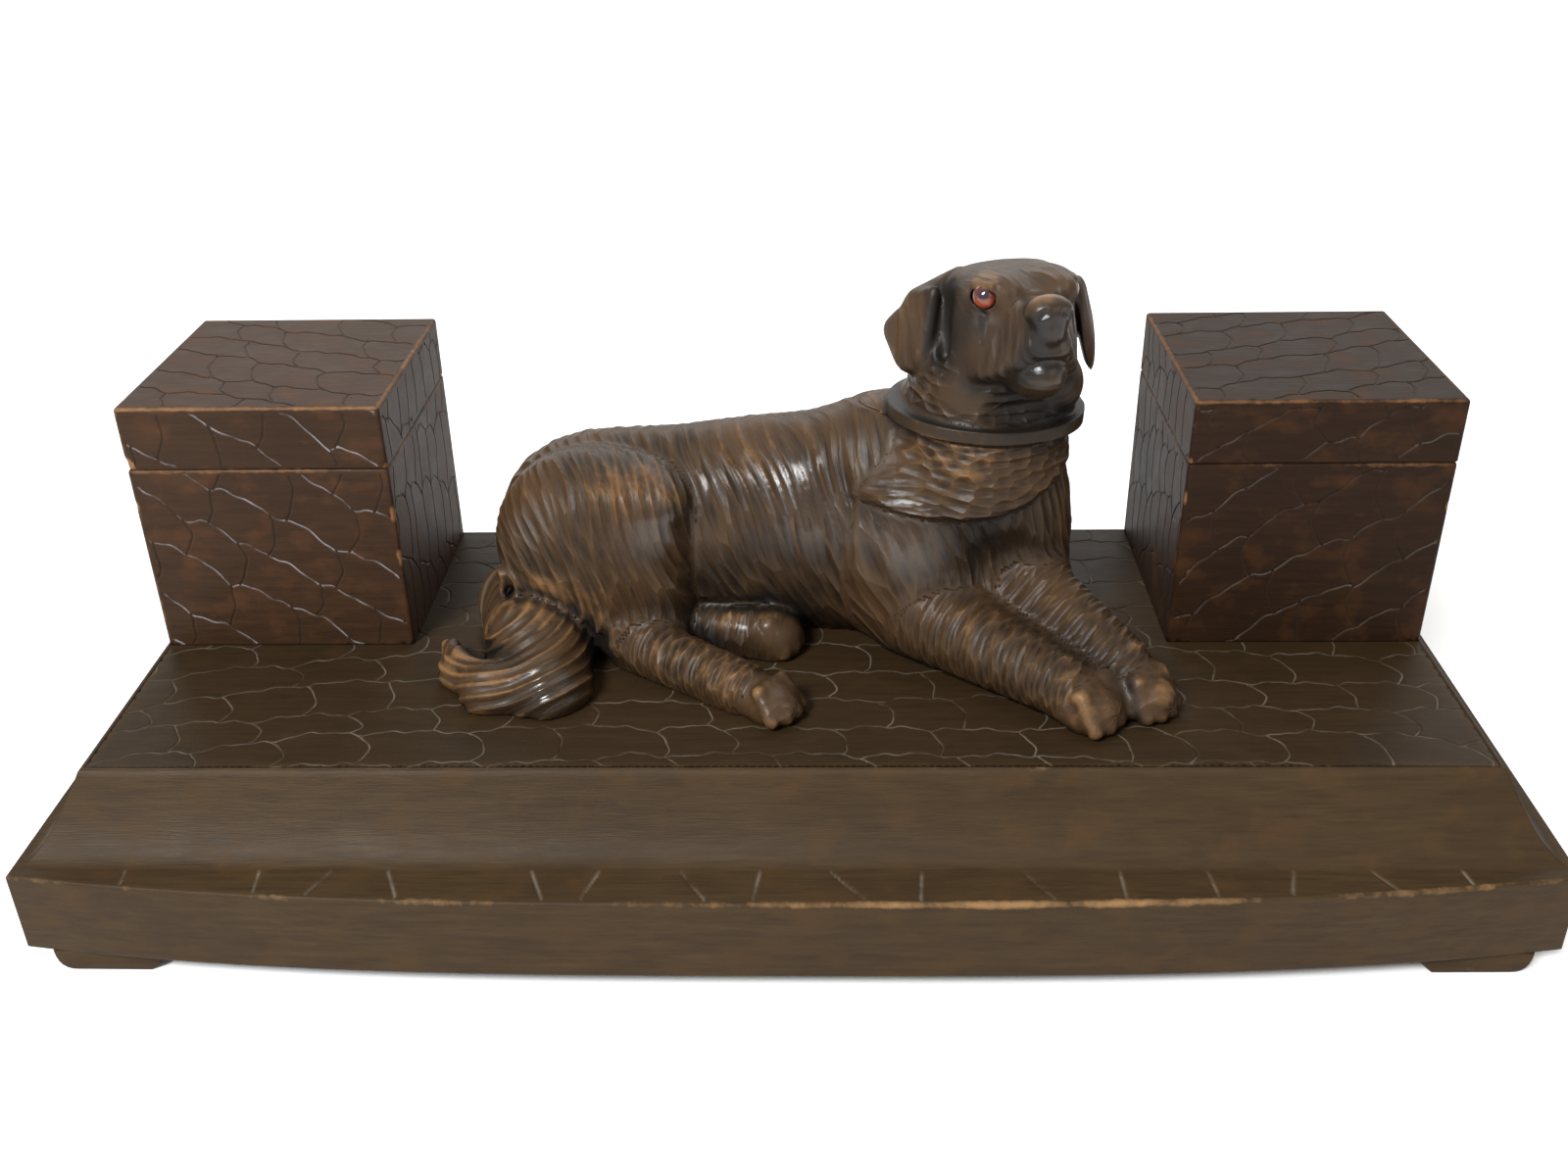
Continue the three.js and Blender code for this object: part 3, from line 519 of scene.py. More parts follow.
def plinth_path():
    """Three lines round the plinth at the same stations, from the left end's back round the
    front to the right end's back: the fascia's face, the hollow's foot and its lip."""
    side = np.linspace(0, 1, SIDE_STATIONS + 1)[:-1]
    run = np.linspace(-1, 1, FRONT_STATIONS)
    lines = []
    for reach, corner in ((half, front_corner), (foot_half, foot_front), (lip_half, lip_front)):
        bowed = reach == half
        y = corner - (BOW * (1 - np.abs(run) ** BOW_POWER) if bowed else 0)
        left = np.stack([0 * side - reach, back + (corner - back) * side], 1)
        front = np.stack([run * reach, y + 0 * run], 1)
        lines.append(np.concatenate([left, front, left[::-1] * [-1, 1]]))
    return lines


def arris_wear(x):
    """How bare the arris is along the front: most a little to the right of the middle, where
    a writer's hand rests."""
    return 0.45 + 0.4 * np.exp(-((x - 55) / 60) ** 2)


def moulding():
    """The plinth's front and ends as a grid: stations round the path by a profile that climbs
    the fascia, turns in over the worn arris, crosses the fillet, follows the hollow's curve
    to its lip and turns onto the top. Short slanted cuts cross the fillet."""
    face, foot, lip = plinth_path()
    inward = foot - face
    inward /= np.linalg.norm(inward, axis=1)[:, None]
    rows, edges, cuts = [], [], []

    def row(place, z, edge=0.0, part=None):
        """part is how far across the fillet the row lies, from the arris to the hollow."""
        rows.append(np.column_stack([place, np.full(len(face), z)]))
        edges.append(edge * arris_wear(place[:, 0]))
        cut = np.zeros(len(face))
        if part is not None:
            for behind, before in FILLET_CUTS:
                aside = np.abs(place[:, 0] - before - (behind - before) * part)
                cut = np.maximum(cut, np.clip(1 - aside / CUT_HALF, 0, 1))
            cut *= (place[:, 1] < foot_front + 0.2) * min(1, (1 - part) * 6)
        cuts.append(cut)

    for a in quarter_turn(TURN_ROWS)[::-1]:
        row(face + inward * (1 - np.cos(a)) * UNDER_ROUND,
            plinth_low[2] + UNDER_ROUND * (1 - np.sin(a)), 0.25)
    for z in np.linspace(plinth_low[2] + 2, fascia_top - WORN_ROUND - 1.6, FASCIA_ROWS):
        row(face, z)
    row(face, fascia_top - WORN_ROUND - 0.8, 0.55)
    for a in quarter_turn(TURN_ROWS):
        row(face + inward * (1 - np.cos(a)) * WORN_ROUND,
            fascia_top - WORN_ROUND * (1 - np.sin(a)), 1.0)
    for part in np.linspace(0.12, 1, FILLET_ROWS):
        row(face + inward * WORN_ROUND + (foot - face - inward * WORN_ROUND) * part, fascia_top,
            max(0.0, 0.5 - 2.5 * part), part)
    for w in np.linspace(1, 0, COVE_ROWS + 2)[1:-1]:
        out = 2 * (1 - w) * w * COVE_PULL[0] + w * w * COVE_REACH
        drop = 2 * (1 - w) * w * COVE_PULL[1] + w * w * (top - fascia_top)
        row(lip + (foot - lip) * out / COVE_REACH, top - drop, 0.2 * max(0, 1 - 12 * w))
    for share, drop, edge in LIP_ROWS:
        row(lip + (foot - lip) * share, top - drop, edge)
    points, groove = np.array(rows), np.array(cuts)
    points[..., 2] -= LINE_DEPTH * groove
    return points, groove, np.array(edges)


def course_drift(x):
    """How far the paving's courses lie above their start: they climb from the left end, ever
    more slowly, and then fall a little."""
    return 34 * (1 - np.exp(-np.clip(x, 0, None) / 95.0)) - 0.06 * x


def plinth_skin():
    """The moulding, the underside, the incised top, and the flat back that closes them."""
    skin = Skin()
    points, groove, edge = moulding()
    skin.add(points, grid_faces(*points.shape[:2]), groove, edge)
    skin.faces = [face[::-1] for face in skin.faces]
    under, inner = points[0], points[-1]
    skin.cap(under)
    low = np.array([inner[:, 0].min(), inner[:, 1].min()])
    wide, deep = np.array([inner[:, 0].max(), back]) - low
    courses, joints = scale_lines(wide, deep, 13.5, 24.0, course_drift, 2.5, 3.0, 2.2, seed=11)
    cells = FRONT_STATIONS - 1, SIDE_STATIONS
    sheet, faces, cut = incised_sheet(wide, deep, courses, joints, 1.0, (1, 1), cells)
    near = np.minimum.reduce([sheet[:, 0], wide - sheet[:, 0], sheet[:, 1]])
    # The top is worn along its rim and marked below 0 elsewhere: painted shade that keeps the whole
    # top darker than the lit moulding.
    skin.add(sheet + [*low, top], faces, cut, 0.85 * np.exp(-near / 1.0) - 0.5)
    across = np.linspace(inner[0, 0], inner[-1, 0], FRONT_STATIONS)[1:-1]
    behind = np.column_stack([across, np.full_like(across, back), np.full_like(across, top)])
    rim = np.concatenate([points[:, 0], behind, points[::-1, -1]])
    skin.cap(rim, flip=True)
    return skin


plinth_wood = stained_wood(
    "plinth wood", dark=(0.027, 0.015, 0.006), light=(0.050, 0.029, 0.011),
    blotch=(0.046, 0.024, 0.008), worn=(0.22, 0.12, 0.05), line=(0.15, 0.125, 0.095),
    amount=0.5, roughness=0.42, bump=0.25, shine=0.14)
plinth_skin().piece("plinth-carved", plinth_wood, "plinth_wood", "plinth")


# FEET
# Four low pads of the plinth's own wood, glued under its corners: their outer ends are rounded
# up and their inner ends cut back.

FOOT_ROUND = 5.0
FOOT_CUT = 2.4
FOOT_EDGE = 0.7


def pad_foot(node):
    """A closed skin: the foot's side outline, carried from front to back, with its front and
    back edges a little rounded. The outline's outer end is a curve from the underside up."""
    low, high = box_mm(node)
    outward = 1 if low[0] > 0 else -1
    inner, outer = (low[0], high[0]) if outward > 0 else (high[0], low[0])
    t = np.linspace(0, 1, 7)[:, None]
    corner = np.array([[outer - outward * FOOT_ROUND, low[2]], [outer, low[2]], [outer, high[2]]])
    round_end = (1 - t) ** 2 * corner[0] + 2 * t * (1 - t) * corner[1] + t * t * corner[2]
    side = np.concatenate([[[inner, high[2]], [inner, low[2] + FOOT_CUT],
                            [inner + outward * FOOT_CUT, low[2]]], round_end])
    middle = side.mean(0)
    ease = quarter_turn(TURN_ROWS)
    shrink = FOOT_EDGE * np.concatenate([1 - np.sin(ease), 1 - np.cos(ease)])
    place = np.concatenate([low[1] + FOOT_EDGE * (1 - np.cos(ease)),
                            high[1] - FOOT_EDGE * (1 - np.sin(ease))])
    rings = []
    for less, y in zip(shrink, place):
        pull = (middle - side) / length_of(middle - side)[:, None] * less
        pull[:, 1] = np.maximum(pull[:, 1], 0) * (side[:, 1] < high[2] - 0.1)
        ring = side + pull
        rings.append(np.column_stack([ring[:, 0], np.full(len(ring), y), ring[:, 1]]))
    points = np.array(rings)
    skin = Skin()
    wear = np.repeat(np.clip(shrink / FOOT_EDGE, 0, 1)[:, None], len(side), 1)
    skin.add(points, grid_faces(*points.shape[:2], closed=True), None, 0.35 * wear)
    last = (len(rings) - 1) * len(side)
    skin.faces.append(list(range(len(side)))[::-1])
    skin.faces.append(list(range(last, last + len(side))))
    skin.piece(node.replace("_", "-"), plinth_wood, "plinth_wood", node)


for end in ("left", "right"):
    pad_foot(f"foot_front_{end}")
    pad_foot(f"foot_back_{end}")


# INK BOXES
# Two square boxes of the same stained wood, hollow for a glass pot, with their own slab lids
# that lift off. Their sides and lids are cut with falling chains of scales, and the lids' top
# edges are rubbed orange. The right box has a darker copy of the stain, painted shade for its
# lying further from the light.

BOX_WALL = 8.0
BOX_FLOOR = 6.0
LID_TOP = 7.0
TONGUE_DROP = 3.0
TONGUE_THICK = 2.5
TONGUE_PLAY = 0.5
EDGE_ROUND = 1.0
ARC_POINTS = 4
WELL_CORNER = 1.5
LID_GAP = 0.15
LID_EASE = 0.4

# Front, right end, back and left end in turn. On the front and the back the courses are cut
# pale, a painted highlight where the cut's facet catches the light, and the joints dark, and on
# the two ends both are dark. Each side's chains have their own fall, pitch and course.
SIDE_TONES = [(1, -1), (-1, -1), (1, -1), (-1, -1)]
SIDE_FALLS = 0.62, 0.4, 0.6, 0.35
SIDE_PITCHES = 18, 9.5, 18, 8.5
SIDE_COURSES = 16.5, 23, 17, 20


def oblong(low, high, inset, corner):
    """A round-cornered rectangle as a closed ring of points, counted from the front side's
    left end. The straight sides have the same stations as the sheets' rims."""
    a, b = np.array(low[:2]) + inset, np.array(high[:2]) - inset
    ends = [(a, (1, 0)), ((b[0], a[1]), (0, 1)), (b, (-1, 0)), ((a[0], b[1]), (0, -1))]
    ring = []
    for k, (start, way) in enumerate(ends):
        way = np.array(way)
        size = abs((np.array(ends[(k + 1) % 4][0]) - start) @ way)
        cells = int(np.ceil((size + 2 * inset - 2 * EDGE_ROUND) / RIM_STEP))
        along = np.linspace(corner, size - corner, cells + 1)
        ring.append(np.array(start) + along[:, None] * way)
        inward = np.array([-way[1], way[0]])
        centre = np.array(start) + (size - corner) * way + corner * inward
        turn = quarter_turn(ARC_POINTS + 1)[1:-1, None]
        ring.append(centre - corner * np.cos(turn) * inward + corner * np.sin(turn) * way)
    return np.concatenate(ring)


def ring_stack(skin, low, high, profile, edges):
    """Rings of the round-cornered rectangle, one for each (inset, corner, height) of the
    profile, joined in order."""
    points = np.array([np.column_stack([ring, np.full(len(ring), z)]) for ring, z in
                       ((oblong(low, high, inset, corner), z) for inset, corner, z in profile)])
    wear = np.repeat(np.array(edges, float)[:, None], points.shape[1], 1)
    skin.add(points, grid_faces(*points.shape[:2], closed=True), None, wear)
    return points


def carved_sides(skin, low, high, bottom, top, patterns, lift):
    """The four upright sides between two heights: an incised sheet on each, and round corners
    between them. lift is how far up the pattern the sheets start."""
    cells = int(np.ceil((top - bottom) / RIM_STEP))
    heights = np.linspace(bottom, top, cells + 1)
    starts = [((low[0] + EDGE_ROUND, low[1]), (1, 0), (0, -1)),
              ((high[0], low[1] + EDGE_ROUND), (0, 1), (1, 0)),
              ((high[0] - EDGE_ROUND, high[1]), (-1, 0), (0, 1)),
              ((low[0], high[1] - EDGE_ROUND), (0, -1), (-1, 0))]
    for k, (start, way, out) in enumerate(starts):
        size = (high[0] - low[0] if k % 2 == 0 else high[1] - low[1]) - 2 * EDGE_ROUND
        courses, joints = ([line - [0, lift] for line in kind] for kind in patterns[k])
        sheet, faces, cut = incised_sheet(size, top - bottom, courses, joints, 0.6,
                                          SIDE_TONES[k])
        flat = (np.array(start) + sheet[:, :1] * np.array(way) + sheet[:, 2:] * np.array(out))
        near = np.minimum(sheet[:, 0], size - sheet[:, 0])
        over = np.minimum(sheet[:, 1], top - bottom - sheet[:, 1])
        wear = 0.35 * np.exp(-near / 0.5) + 0.3 * np.exp(-over / 0.4)
        skin.add(np.column_stack([flat, bottom + sheet[:, 1]]), faces, cut, wear)
        inward = np.array([-way[1], way[0]])
        centre = np.array(start) + size * np.array(way) + EDGE_ROUND * inward
        turn = quarter_turn(ARC_POINTS + 1)[:, None]
        arc = centre - EDGE_ROUND * np.cos(turn) * inward + EDGE_ROUND * np.sin(turn) * way
        grid = np.empty((len(heights), len(arc), 3))
        grid[..., :2] = arc
        grid[..., 2] = heights[:, None]
        skin.add(grid, grid_faces(*grid.shape[:2]), None, np.full(grid.shape[:2], 0.42))


def mirrored(lines, width):
    """Lines of a sheet of that width, with left and right changed over."""
    return [np.column_stack([width - line[:, 0], line[:, 1]]) for line in lines]


def box_patterns(width, depth, height, hand, seed):
    """The scale lines of the four sides. Chains fall to the right on the left box and to the
    left on the right one."""
    found = []
    for k, size in enumerate((width, depth, width, depth)):
        fall = lambda x: -SIDE_FALLS[k] * x
        lines = scale_lines(size, height, SIDE_COURSES[k], SIDE_PITCHES[k], fall, -2.2, 2.0, 2.4,
                            seed + k)
        found.append([mirrored(kind, size) if hand > 0 else kind for kind in lines])
    return found


# Splintered places on the front's upright edges: 0 for its left one and 1 for its right one,
# the height above the box's underside or the lid's, and the size.
BOX_CHIPS = {"left": [(1, 42.5, 1.6), (1, 29.0, 1.5), (0, 46.0, 1.2)],
             "right": [(0, 46.5, 1.3), (1, 44.0, 0.9)]}
LID_CHIPS = {"left": [(0, 1.4, 2.6), (1, 0.6, 1.4)], "right": [(0, 0.8, 1.3)]}


def turned_edge(inset, height, squeeze=1.0):
    """The profile of a rounded edge from upright to level, a step nearer the middle at each
    point, as (inset, corner, height)."""
    return [(inset + squeeze * EDGE_ROUND * (1 - np.cos(t)), EDGE_ROUND,
             height + EDGE_ROUND * np.sin(t)) for t in quarter_turn(ARC_POINTS)]


def box_skin(low, high, patterns):
    """The carved sides, the rim that turns in over the wall, the well and the underside."""
    bottom, seam = low[2], high[2]
    skin = Skin()
    carved_sides(skin, low, high, bottom, seam - EDGE_ROUND, patterns, 0.0)
    floor = bottom + BOX_FLOOR
    well = [(BOX_WALL - 0.5, WELL_CORNER, seam), (BOX_WALL, WELL_CORNER, seam - 0.5),
            (BOX_WALL, WELL_CORNER, floor + 1), (BOX_WALL + 1, 1.0, floor)]
    stack = ring_stack(skin, low, high, turned_edge(0, seam - EDGE_ROUND, 0.6) + well,
                       [0.5, 0.6, 0.6, 0.5, 0.5, 0.3, 0, 0])
    skin.cap(stack[-1])
    under = oblong(low, high, 0, EDGE_ROUND)
    skin.cap(np.column_stack([under, np.full(len(under), bottom)]), flip=True)
    return skin


def lid_top(lid, low, high, top, hand):
    """The lid's incised top inside its rounded edge. The edge's rubbed orange ends just inside
    it."""
    width, depth = (high - low)[:2] - 2 * EDGE_ROUND
    lines = scale_lines(width, depth, 14, 21, lambda x: -0.32 * x, 3.5, -2.0, 2.2,
                        47 if hand < 0 else 67)
    if hand > 0:
        lines = [mirrored(kind, width) for kind in lines]
    sheet, faces, cut = incised_sheet(width, depth, *lines, 0.8, (-1, -1))
    near = np.minimum.reduce([sheet[:, 0], width - sheet[:, 0], sheet[:, 1],
                              depth - sheet[:, 1]])
    lid.add(sheet + [low[0] + EDGE_ROUND, low[1] + EDGE_ROUND, top], faces, cut,
            0.5 * np.exp(-near / 0.4))


def lid_inside(lid, low, high, seam, top):
    """The lid's underside: out to the tongue that drops into the box, down and round it, and up
    to the hollow's flat ceiling."""
    base, drop = seam + LID_GAP, seam - TONGUE_DROP
    tongue, ceiling = BOX_WALL + TONGUE_PLAY, top - LID_TOP
    hollow = tongue + TONGUE_THICK
    profile = [(0, EDGE_ROUND, base + LID_EASE), (0.3, EDGE_ROUND, base),
               (tongue - LID_EASE, 1.2, base), (tongue, 1.2, base - LID_EASE),
               (tongue, 1.2, drop + LID_EASE), (tongue + LID_EASE, 1.0, drop),
               (hollow - LID_EASE, 1.0, drop), (hollow, 1.0, drop + LID_EASE),
               (hollow, 1.0, ceiling - 1), (hollow + 1, 0.8, ceiling)]
    before = len(lid.faces)
    stack = ring_stack(lid, low, high, profile, [0.5, 0.4] + 8 * [0])
    lid.faces[before:] = [face[::-1] for face in lid.faces[before:]]
    lid.cap(stack[-1], flip=True)


def ink_box(side, hand, wood):
    """One box and its lid. hand is -1 for the left one and 1 for the right one, whose lines
    are mirrored."""
    low, high = box_mm(f"{side}_box")
    top = box_mm(f"{side}_lid")[1][2]
    seam, bottom = high[2], low[2]
    width, depth = (high - low)[:2] - 2 * EDGE_ROUND
    patterns = box_patterns(width, depth, top - bottom, hand, 40 if hand < 0 else 60)
    skin = box_skin(low, high, patterns)
    lid = Skin()
    foot = seam + LID_GAP + LID_EASE
    carved_sides(lid, low, high, foot, top - EDGE_ROUND, patterns, foot - bottom)
    arc = [(inset, max(0.0, corner - inset), z) for inset, corner, z
           in turned_edge(0, top - EDGE_ROUND)]
    ring_stack(lid, low, high, arc, [0.55, 0.85, 0.85, 0.6])
    lid_top(lid, low, high, top, hand)
    lid_inside(lid, low, high, seam, top)
    for part, chips, base in ((skin, BOX_CHIPS, bottom), (lid, LID_CHIPS, seam)):
        for corner, rise, chip in chips[side]:
            part.chip([(low, high)[corner][0], low[1], base + rise], [0.5 - corner, 0.7, 0], chip)
    skin.piece(f"{side}-box", wood, "box_wood", f"{side}_box")
    lid.piece(f"{side}-lid", wood, "box_wood", f"{side}_lid")


# The boxes' line colours are the pale cuts' painted highlight.
left_wood = stained_wood(
    "left box wood", dark=(0.024, 0.011, 0.005), light=(0.044, 0.021, 0.009),
    blotch=(0.058, 0.024, 0.009), worn=(0.20, 0.095, 0.038), line=(0.30, 0.28, 0.29),
    amount=0.5, roughness=0.42, bump=0.2, shine=0.14)
# The right box's stain: a darker copy of the left's, painted shade for that box lying further from
# the light; its pale line colour is a weaker painted highlight.
right_shaded_wood = stained_wood(
    "right box shaded wood", dark=(0.013, 0.006, 0.003), light=(0.026, 0.012, 0.005),
    blotch=(0.038, 0.015, 0.005), worn=(0.17, 0.08, 0.032), line=(0.10, 0.085, 0.07),
    amount=0.45, roughness=0.42, bump=0.2, shine=0.10)
ink_box("left", -1, left_wood)
ink_box("right", 1, right_shaded_wood)


# DOG
# A large long-eared dog lying with its forelegs out and its head turned, carved in one with
# its collar. The coat is all short gouge cuts, stained walnut brown and rubbed orange on the
# high places, with painted shade nearly black in the hollows.

DOG_AT = np.array([0.0, 9.2, 51.0])
HEAD_AT = np.array([58.4, 5.6, 98.5])
HEAD_TURN = -75.0, 16.0
EYE_AT = 16.8, 11.4, 5.6


def rows_of(yaw, pitch=0.0, roll=0.0):
    """The rows are a mass's own axes after a yaw about z, a pitch that lifts its nose, and a
    roll, in degrees."""
    a, b, c = np.radians([yaw, -pitch, roll])
    about_z = np.array([[np.cos(a), -np.sin(a), 0], [np.sin(a), np.cos(a), 0], [0, 0, 1]])
    about_y = np.array([[np.cos(b), 0, np.sin(b)], [0, 1, 0], [-np.sin(b), 0, np.cos(b)]])
    about_x = np.array([[1, 0, 0], [0, np.cos(c), -np.sin(c)], [0, np.sin(c), np.cos(c)]])
    return (about_z @ about_y @ about_x).T


HEAD_ROWS = rows_of(*HEAD_TURN)


def placed(mass, at, turn=(0,)):
    """A mass of its own frame, put at a place with a turn."""
    at, rows = np.array(at, np.float32), rows_of(*turn).T.astype(np.float32)
    return lambda points: mass((points - at) @ rows)


def in_head(mass):
    """A mass of the head's own frame, placed on the dog."""
    return placed(mass, HEAD_AT, HEAD_TURN)


def egg(at, size, turn=(0,)):
    """Distance to an ellipsoid: a(a - 1)/b, where a is the length of the point over the half
    sizes and b its length over their squares."""
    size = np.array(size, np.float32)

    def distance(points):
        p = points / size
        a, b = length_of(p), length_of(p / size)
        return a * (a - 1) / np.maximum(b, 1e-6)
    return placed(distance, at, turn)


def slab(at, half_size, round_by, turn=(0,)):
    """Distance to a block with rounded edges."""
    half_size = np.array(half_size, np.float32)

    def distance(points):
        q = np.abs(points) - half_size + round_by
        return length_of(np.maximum(q, 0)) + np.minimum(q.max(-1), 0) - round_by
    return placed(distance, at, turn)


def limb(start, end, thick_start, thick_end):
    """Distance to a tapering rod with round ends."""
    start, end = np.array(start, np.float32), np.array(end, np.float32)
    span = end - start

    def distance(points):
        p = points - start
        t = np.clip(p @ span / (span @ span), 0, 1)
        return length_of(p - t[..., None] * span) - thick_start - (thick_end - thick_start) * t
    return distance


def melt(soft, *masses):
    """Joins masses. Where two lie closer than soft their joint is filled in a smooth curve."""
    def distance(points):
        near = masses[0](points)
        for mass in masses[1:]:
            other = mass(points)
            lap = np.maximum(soft - np.abs(near - other), 0) / soft
            near = np.minimum(near, other) - lap * lap * soft / 4
        return near
    return distance


def carve(soft, mass, *cutters):
    """Takes cutters out of a mass, the new edges rounded over soft."""
    def distance(points):
        near = mass(points)
        for cutter in cutters:
            other = -cutter(points)
            lap = np.maximum(soft - np.abs(near - other), 0) / soft
            near = np.maximum(near, other) + lap * lap * soft / 4
        return near
    return distance


def band(at, half_size, height, turn=(0,)):
    """Distance to an upright oval drum, as a collar is."""
    half_size = np.array(half_size, np.float32)

    def distance(points):
        flat = points[..., :2] / half_size
        a, b = length_of(flat), length_of(flat / half_size)
        around = a * (a - 1) / np.maximum(b, 1e-6)
        return np.maximum(around, np.abs(points[..., 2]) - height / 2)
    return placed(distance, at, turn)


TAIL_MIDDLE = -84, -12
LOCK = 4.4
LOCK_RISE = 0.9


def lock_rings(points):
    """How far out a point lies round the curled tail's middle. A lock rises outwards, so a
    higher point belongs to a ring nearer the middle."""
    x, y = TAIL_MIDDLE
    return np.hypot(points[..., 0] - x, points[..., 1] - y) - LOCK_RISE * points[..., 2]


def locks(mass, depth):
    """Waves through a mass's skin that run along the tail's rings."""
    return lambda points: mass(points) + depth * np.cos(2 * np.pi * lock_rings(points) / LOCK)


def facets(soft, *planes):
    """A block inside planes, each a direction and how far out it lies."""
    sides = []
    for x, y, z, far in planes:
        way = np.array([x, y, z], np.float32) / np.sqrt(x * x + y * y + z * z)
        sides.append(lambda points, way=way, far=far: far - points @ way)
    return carve(soft, lambda points: np.full(points.shape[:-1], -100, np.float32), *sides)


def paw(at, size, yaw, fan):
    """A rounded pad and four toes that fan out over its end and slope to the ground."""
    radius = size[1] * 0.3
    toes = []
    for place in (-1.5, -0.5, 0.5, 1.5):
        way, lead = math.radians(yaw + place * fan), math.radians(yaw)
        aside = place * radius * 1.25
        reach = size[0] * math.sqrt(1 - (aside / size[1]) ** 2) - radius
        x = at[0] - aside * math.sin(lead)
        y = at[1] + aside * math.cos(lead)
        tip = [x + reach * math.cos(way), y + reach * math.sin(way), radius + 0.5]
        toes.append(limb([x, y, at[2] + size[2] - radius * 0.8], tip, radius, radius))
    return melt(1, egg(at, [value * 0.93 for value in size], [yaw]), *toes)


def both(make):
    """The same mass on the left and on the right, by a function of the side's sign."""
    return [make(1), make(-1)]


# Head's masses, in its own frame: x to the nose, y to the dog's left, z up.
skull = melt(
    6,
    egg([-3, 0, -1], [19, 16.5, 13]),
    slab([5, 0, 2.9], [12, 13.5, 8], 7),
    *both(lambda side: egg([12, side * 8.6, 7], [6.5, 6, 3.4])),
    *both(lambda side: egg([3, side * 8, -8], [12, 7.5, 9])),
)
skull = melt(4, skull, *both(lambda side: egg([17.6, side * 6.6, 6.2], [5.6, 4.6, 3.8])))
skull = melt(3, skull, egg([21.5, 8.2, 5.2], [3.4, 2.8, 3.4]))
cheeks = facets(
    4.5, [0.37, 0.91, 0.2, 15.1], [0.37, -0.91, 0.2, 15.1], [1, 0, 0.05, 31.6],
    [0.3, 0, 1, 11.6], [0.585, 0, -0.81, 26], [0, 0, -1, 16.8], [-1, 0, 0, 2],
)
chin = melt(4, egg([20.6, 0, -14.8], [9.4, 7.2, 6.6]), limb([18, 0, -13], [4, 0, -14], 6.5, 9))
nose = carve(
    0.6,
    melt(3, egg([29.6, 0, 1.3], [5.0, 6.4, 4.4]), egg([29.4, 0, -3.6], [4.4, 4.4, 4.0])),
    *both(lambda side: limb([34.4, side * 2.6, 1.2], [32.8, side * 5.6, -0.9], 0.9, 0.6)),
)
philtrum = limb([34.6, 0, -3], [32, 0, -9.5], 0.4, 0.6)
ruff = melt(4, *both(lambda side: egg([-3, side * 10.5, -19.5], [14, 11, 10.5])))
muzzle = melt(0.6, cheeks, chin)
head_mass = carve(0.6, melt(1, melt(5, skull, muzzle), nose), philtrum)
head_mass = melt(0.8, head_mass, ruff)
head_hollows = [
    *both(lambda side: limb([2.4, side * 18.6, 9], [2.4, side * 18.3, -9], 2.8, 1.6)),
    *both(lambda side: limb([11, side * 17, -18.2], [21, side * 12, -18.4], 0.8, 1.5)),
    egg([14, -1, -26], [5, 14, 6]),
]
sockets = both(lambda side: egg([EYE_AT[0], side * EYE_AT[1], EYE_AT[2]], [4.1, 3.4, 3.0],
                                [-22 * side]))
lids = both(lambda side: limb([20.2, side * 11.0, 7.9], [14.2, side * 13.4, 8.3], 1.2, 0.9))
tear_cuts = both(lambda side: limb([16.6, side * 12.7, 0.6], [15.8, side * 13.2, -5.5],
                                   1.4, 0.8))
leaf = facets(
    4, [0.99, 0, -0.14, 11.2], [0.62, 0, -0.79, 12.8], [0, 0, -1, 12.3],
    [-0.84, 0, -0.55, 8.4], [-0.6, 0, 0.8, 7.7], [-0.27, 0, 0.96, 9.6], [0, 1, 0, 2.4],
    [0, -1, 0, 2.4],
)
ears = melt(
    2,
    limb([-5, -10, 8], [-8, -21, 5], 5, 3.5),
    egg([-9.5, -18, 0], [8, 7, 8]),
    placed(leaf, [-9.5, -24.5, -3.2], [24, 0, -7]),
    limb([-4, 10, 8], [-9, 22, 4], 5, 4),
    egg([-9, 20, -1], [7, 6, 9]),
    egg([-8, 26, -6], [9.5, 2.4, 13], [-30, 0, 5]),
)

# Body's masses, in the dog's frame: x to its breast, z up, y away from the viewer.
trunk = melt(
    14,
    egg([15, 20, 30], [44, 25, 34], [-8]),
    egg([-24, 21, 29], [40, 24, 31]),
    egg([-57, 22, 26], [29, 23, 31]),
    egg([34, 15, 56], [22, 17, 16]),
)
chest = melt(8, egg([56.5, 7, 32], [24.5, 21, 38]), limb([53, 8, 50], [55, 8, 80], 23.5, 20))
front = melt(6, chest, egg([34, 2, 28], [18, 18, 31]))
hollow = egg([62, -22, 30], [15, 13, 14])


def bib_edge(points):
    """Below the breast's long fur: a sagging line above the elbows, less a slant at its
    left."""
    x, y, z = points[..., 0], points[..., 1], points[..., 2]
    return -np.maximum(47 + 0.0085 * (x - 42) ** 2 - z, (9 - 0.8 * x + 0.6 * y) * 0.7)


bib = carve(2, lambda points: front(points) - 1.7, bib_edge)
haunch = melt(9, egg([-57, 7, 31], [27, 20, 27.5]), slab([-44.5, 2, 28], [18, 13.5, 28], 12))
tufts = []
for part in np.linspace(0, 1, 8):
    x, y = -80.0 + 32 * part, -3 - 13 * part + 4 * part ** 2
    root = np.array([x, y, 25 - 5 * part - 8 * part ** 3])
    tufts.append(limb(root, root + [-1, -2.2, -5.5 + 2 * (part > 0.5)], 3.0, 1.0))
haunch = melt(1.5, haunch, *tufts)
LEGS = {
    "near hind": ([-43, -8, 5], [-12, -31, 4.5], 9, 8),
    "far hind": ([-30, 4, 5], [-5, -3, 5], 9, 8.5),
    "near fore": ([42, -8, 13], [74, -36, 8.5], 13.5, 9),
    "far fore": ([68, -4, 22], [91, -28, 10.5], 11, 8.5),
}
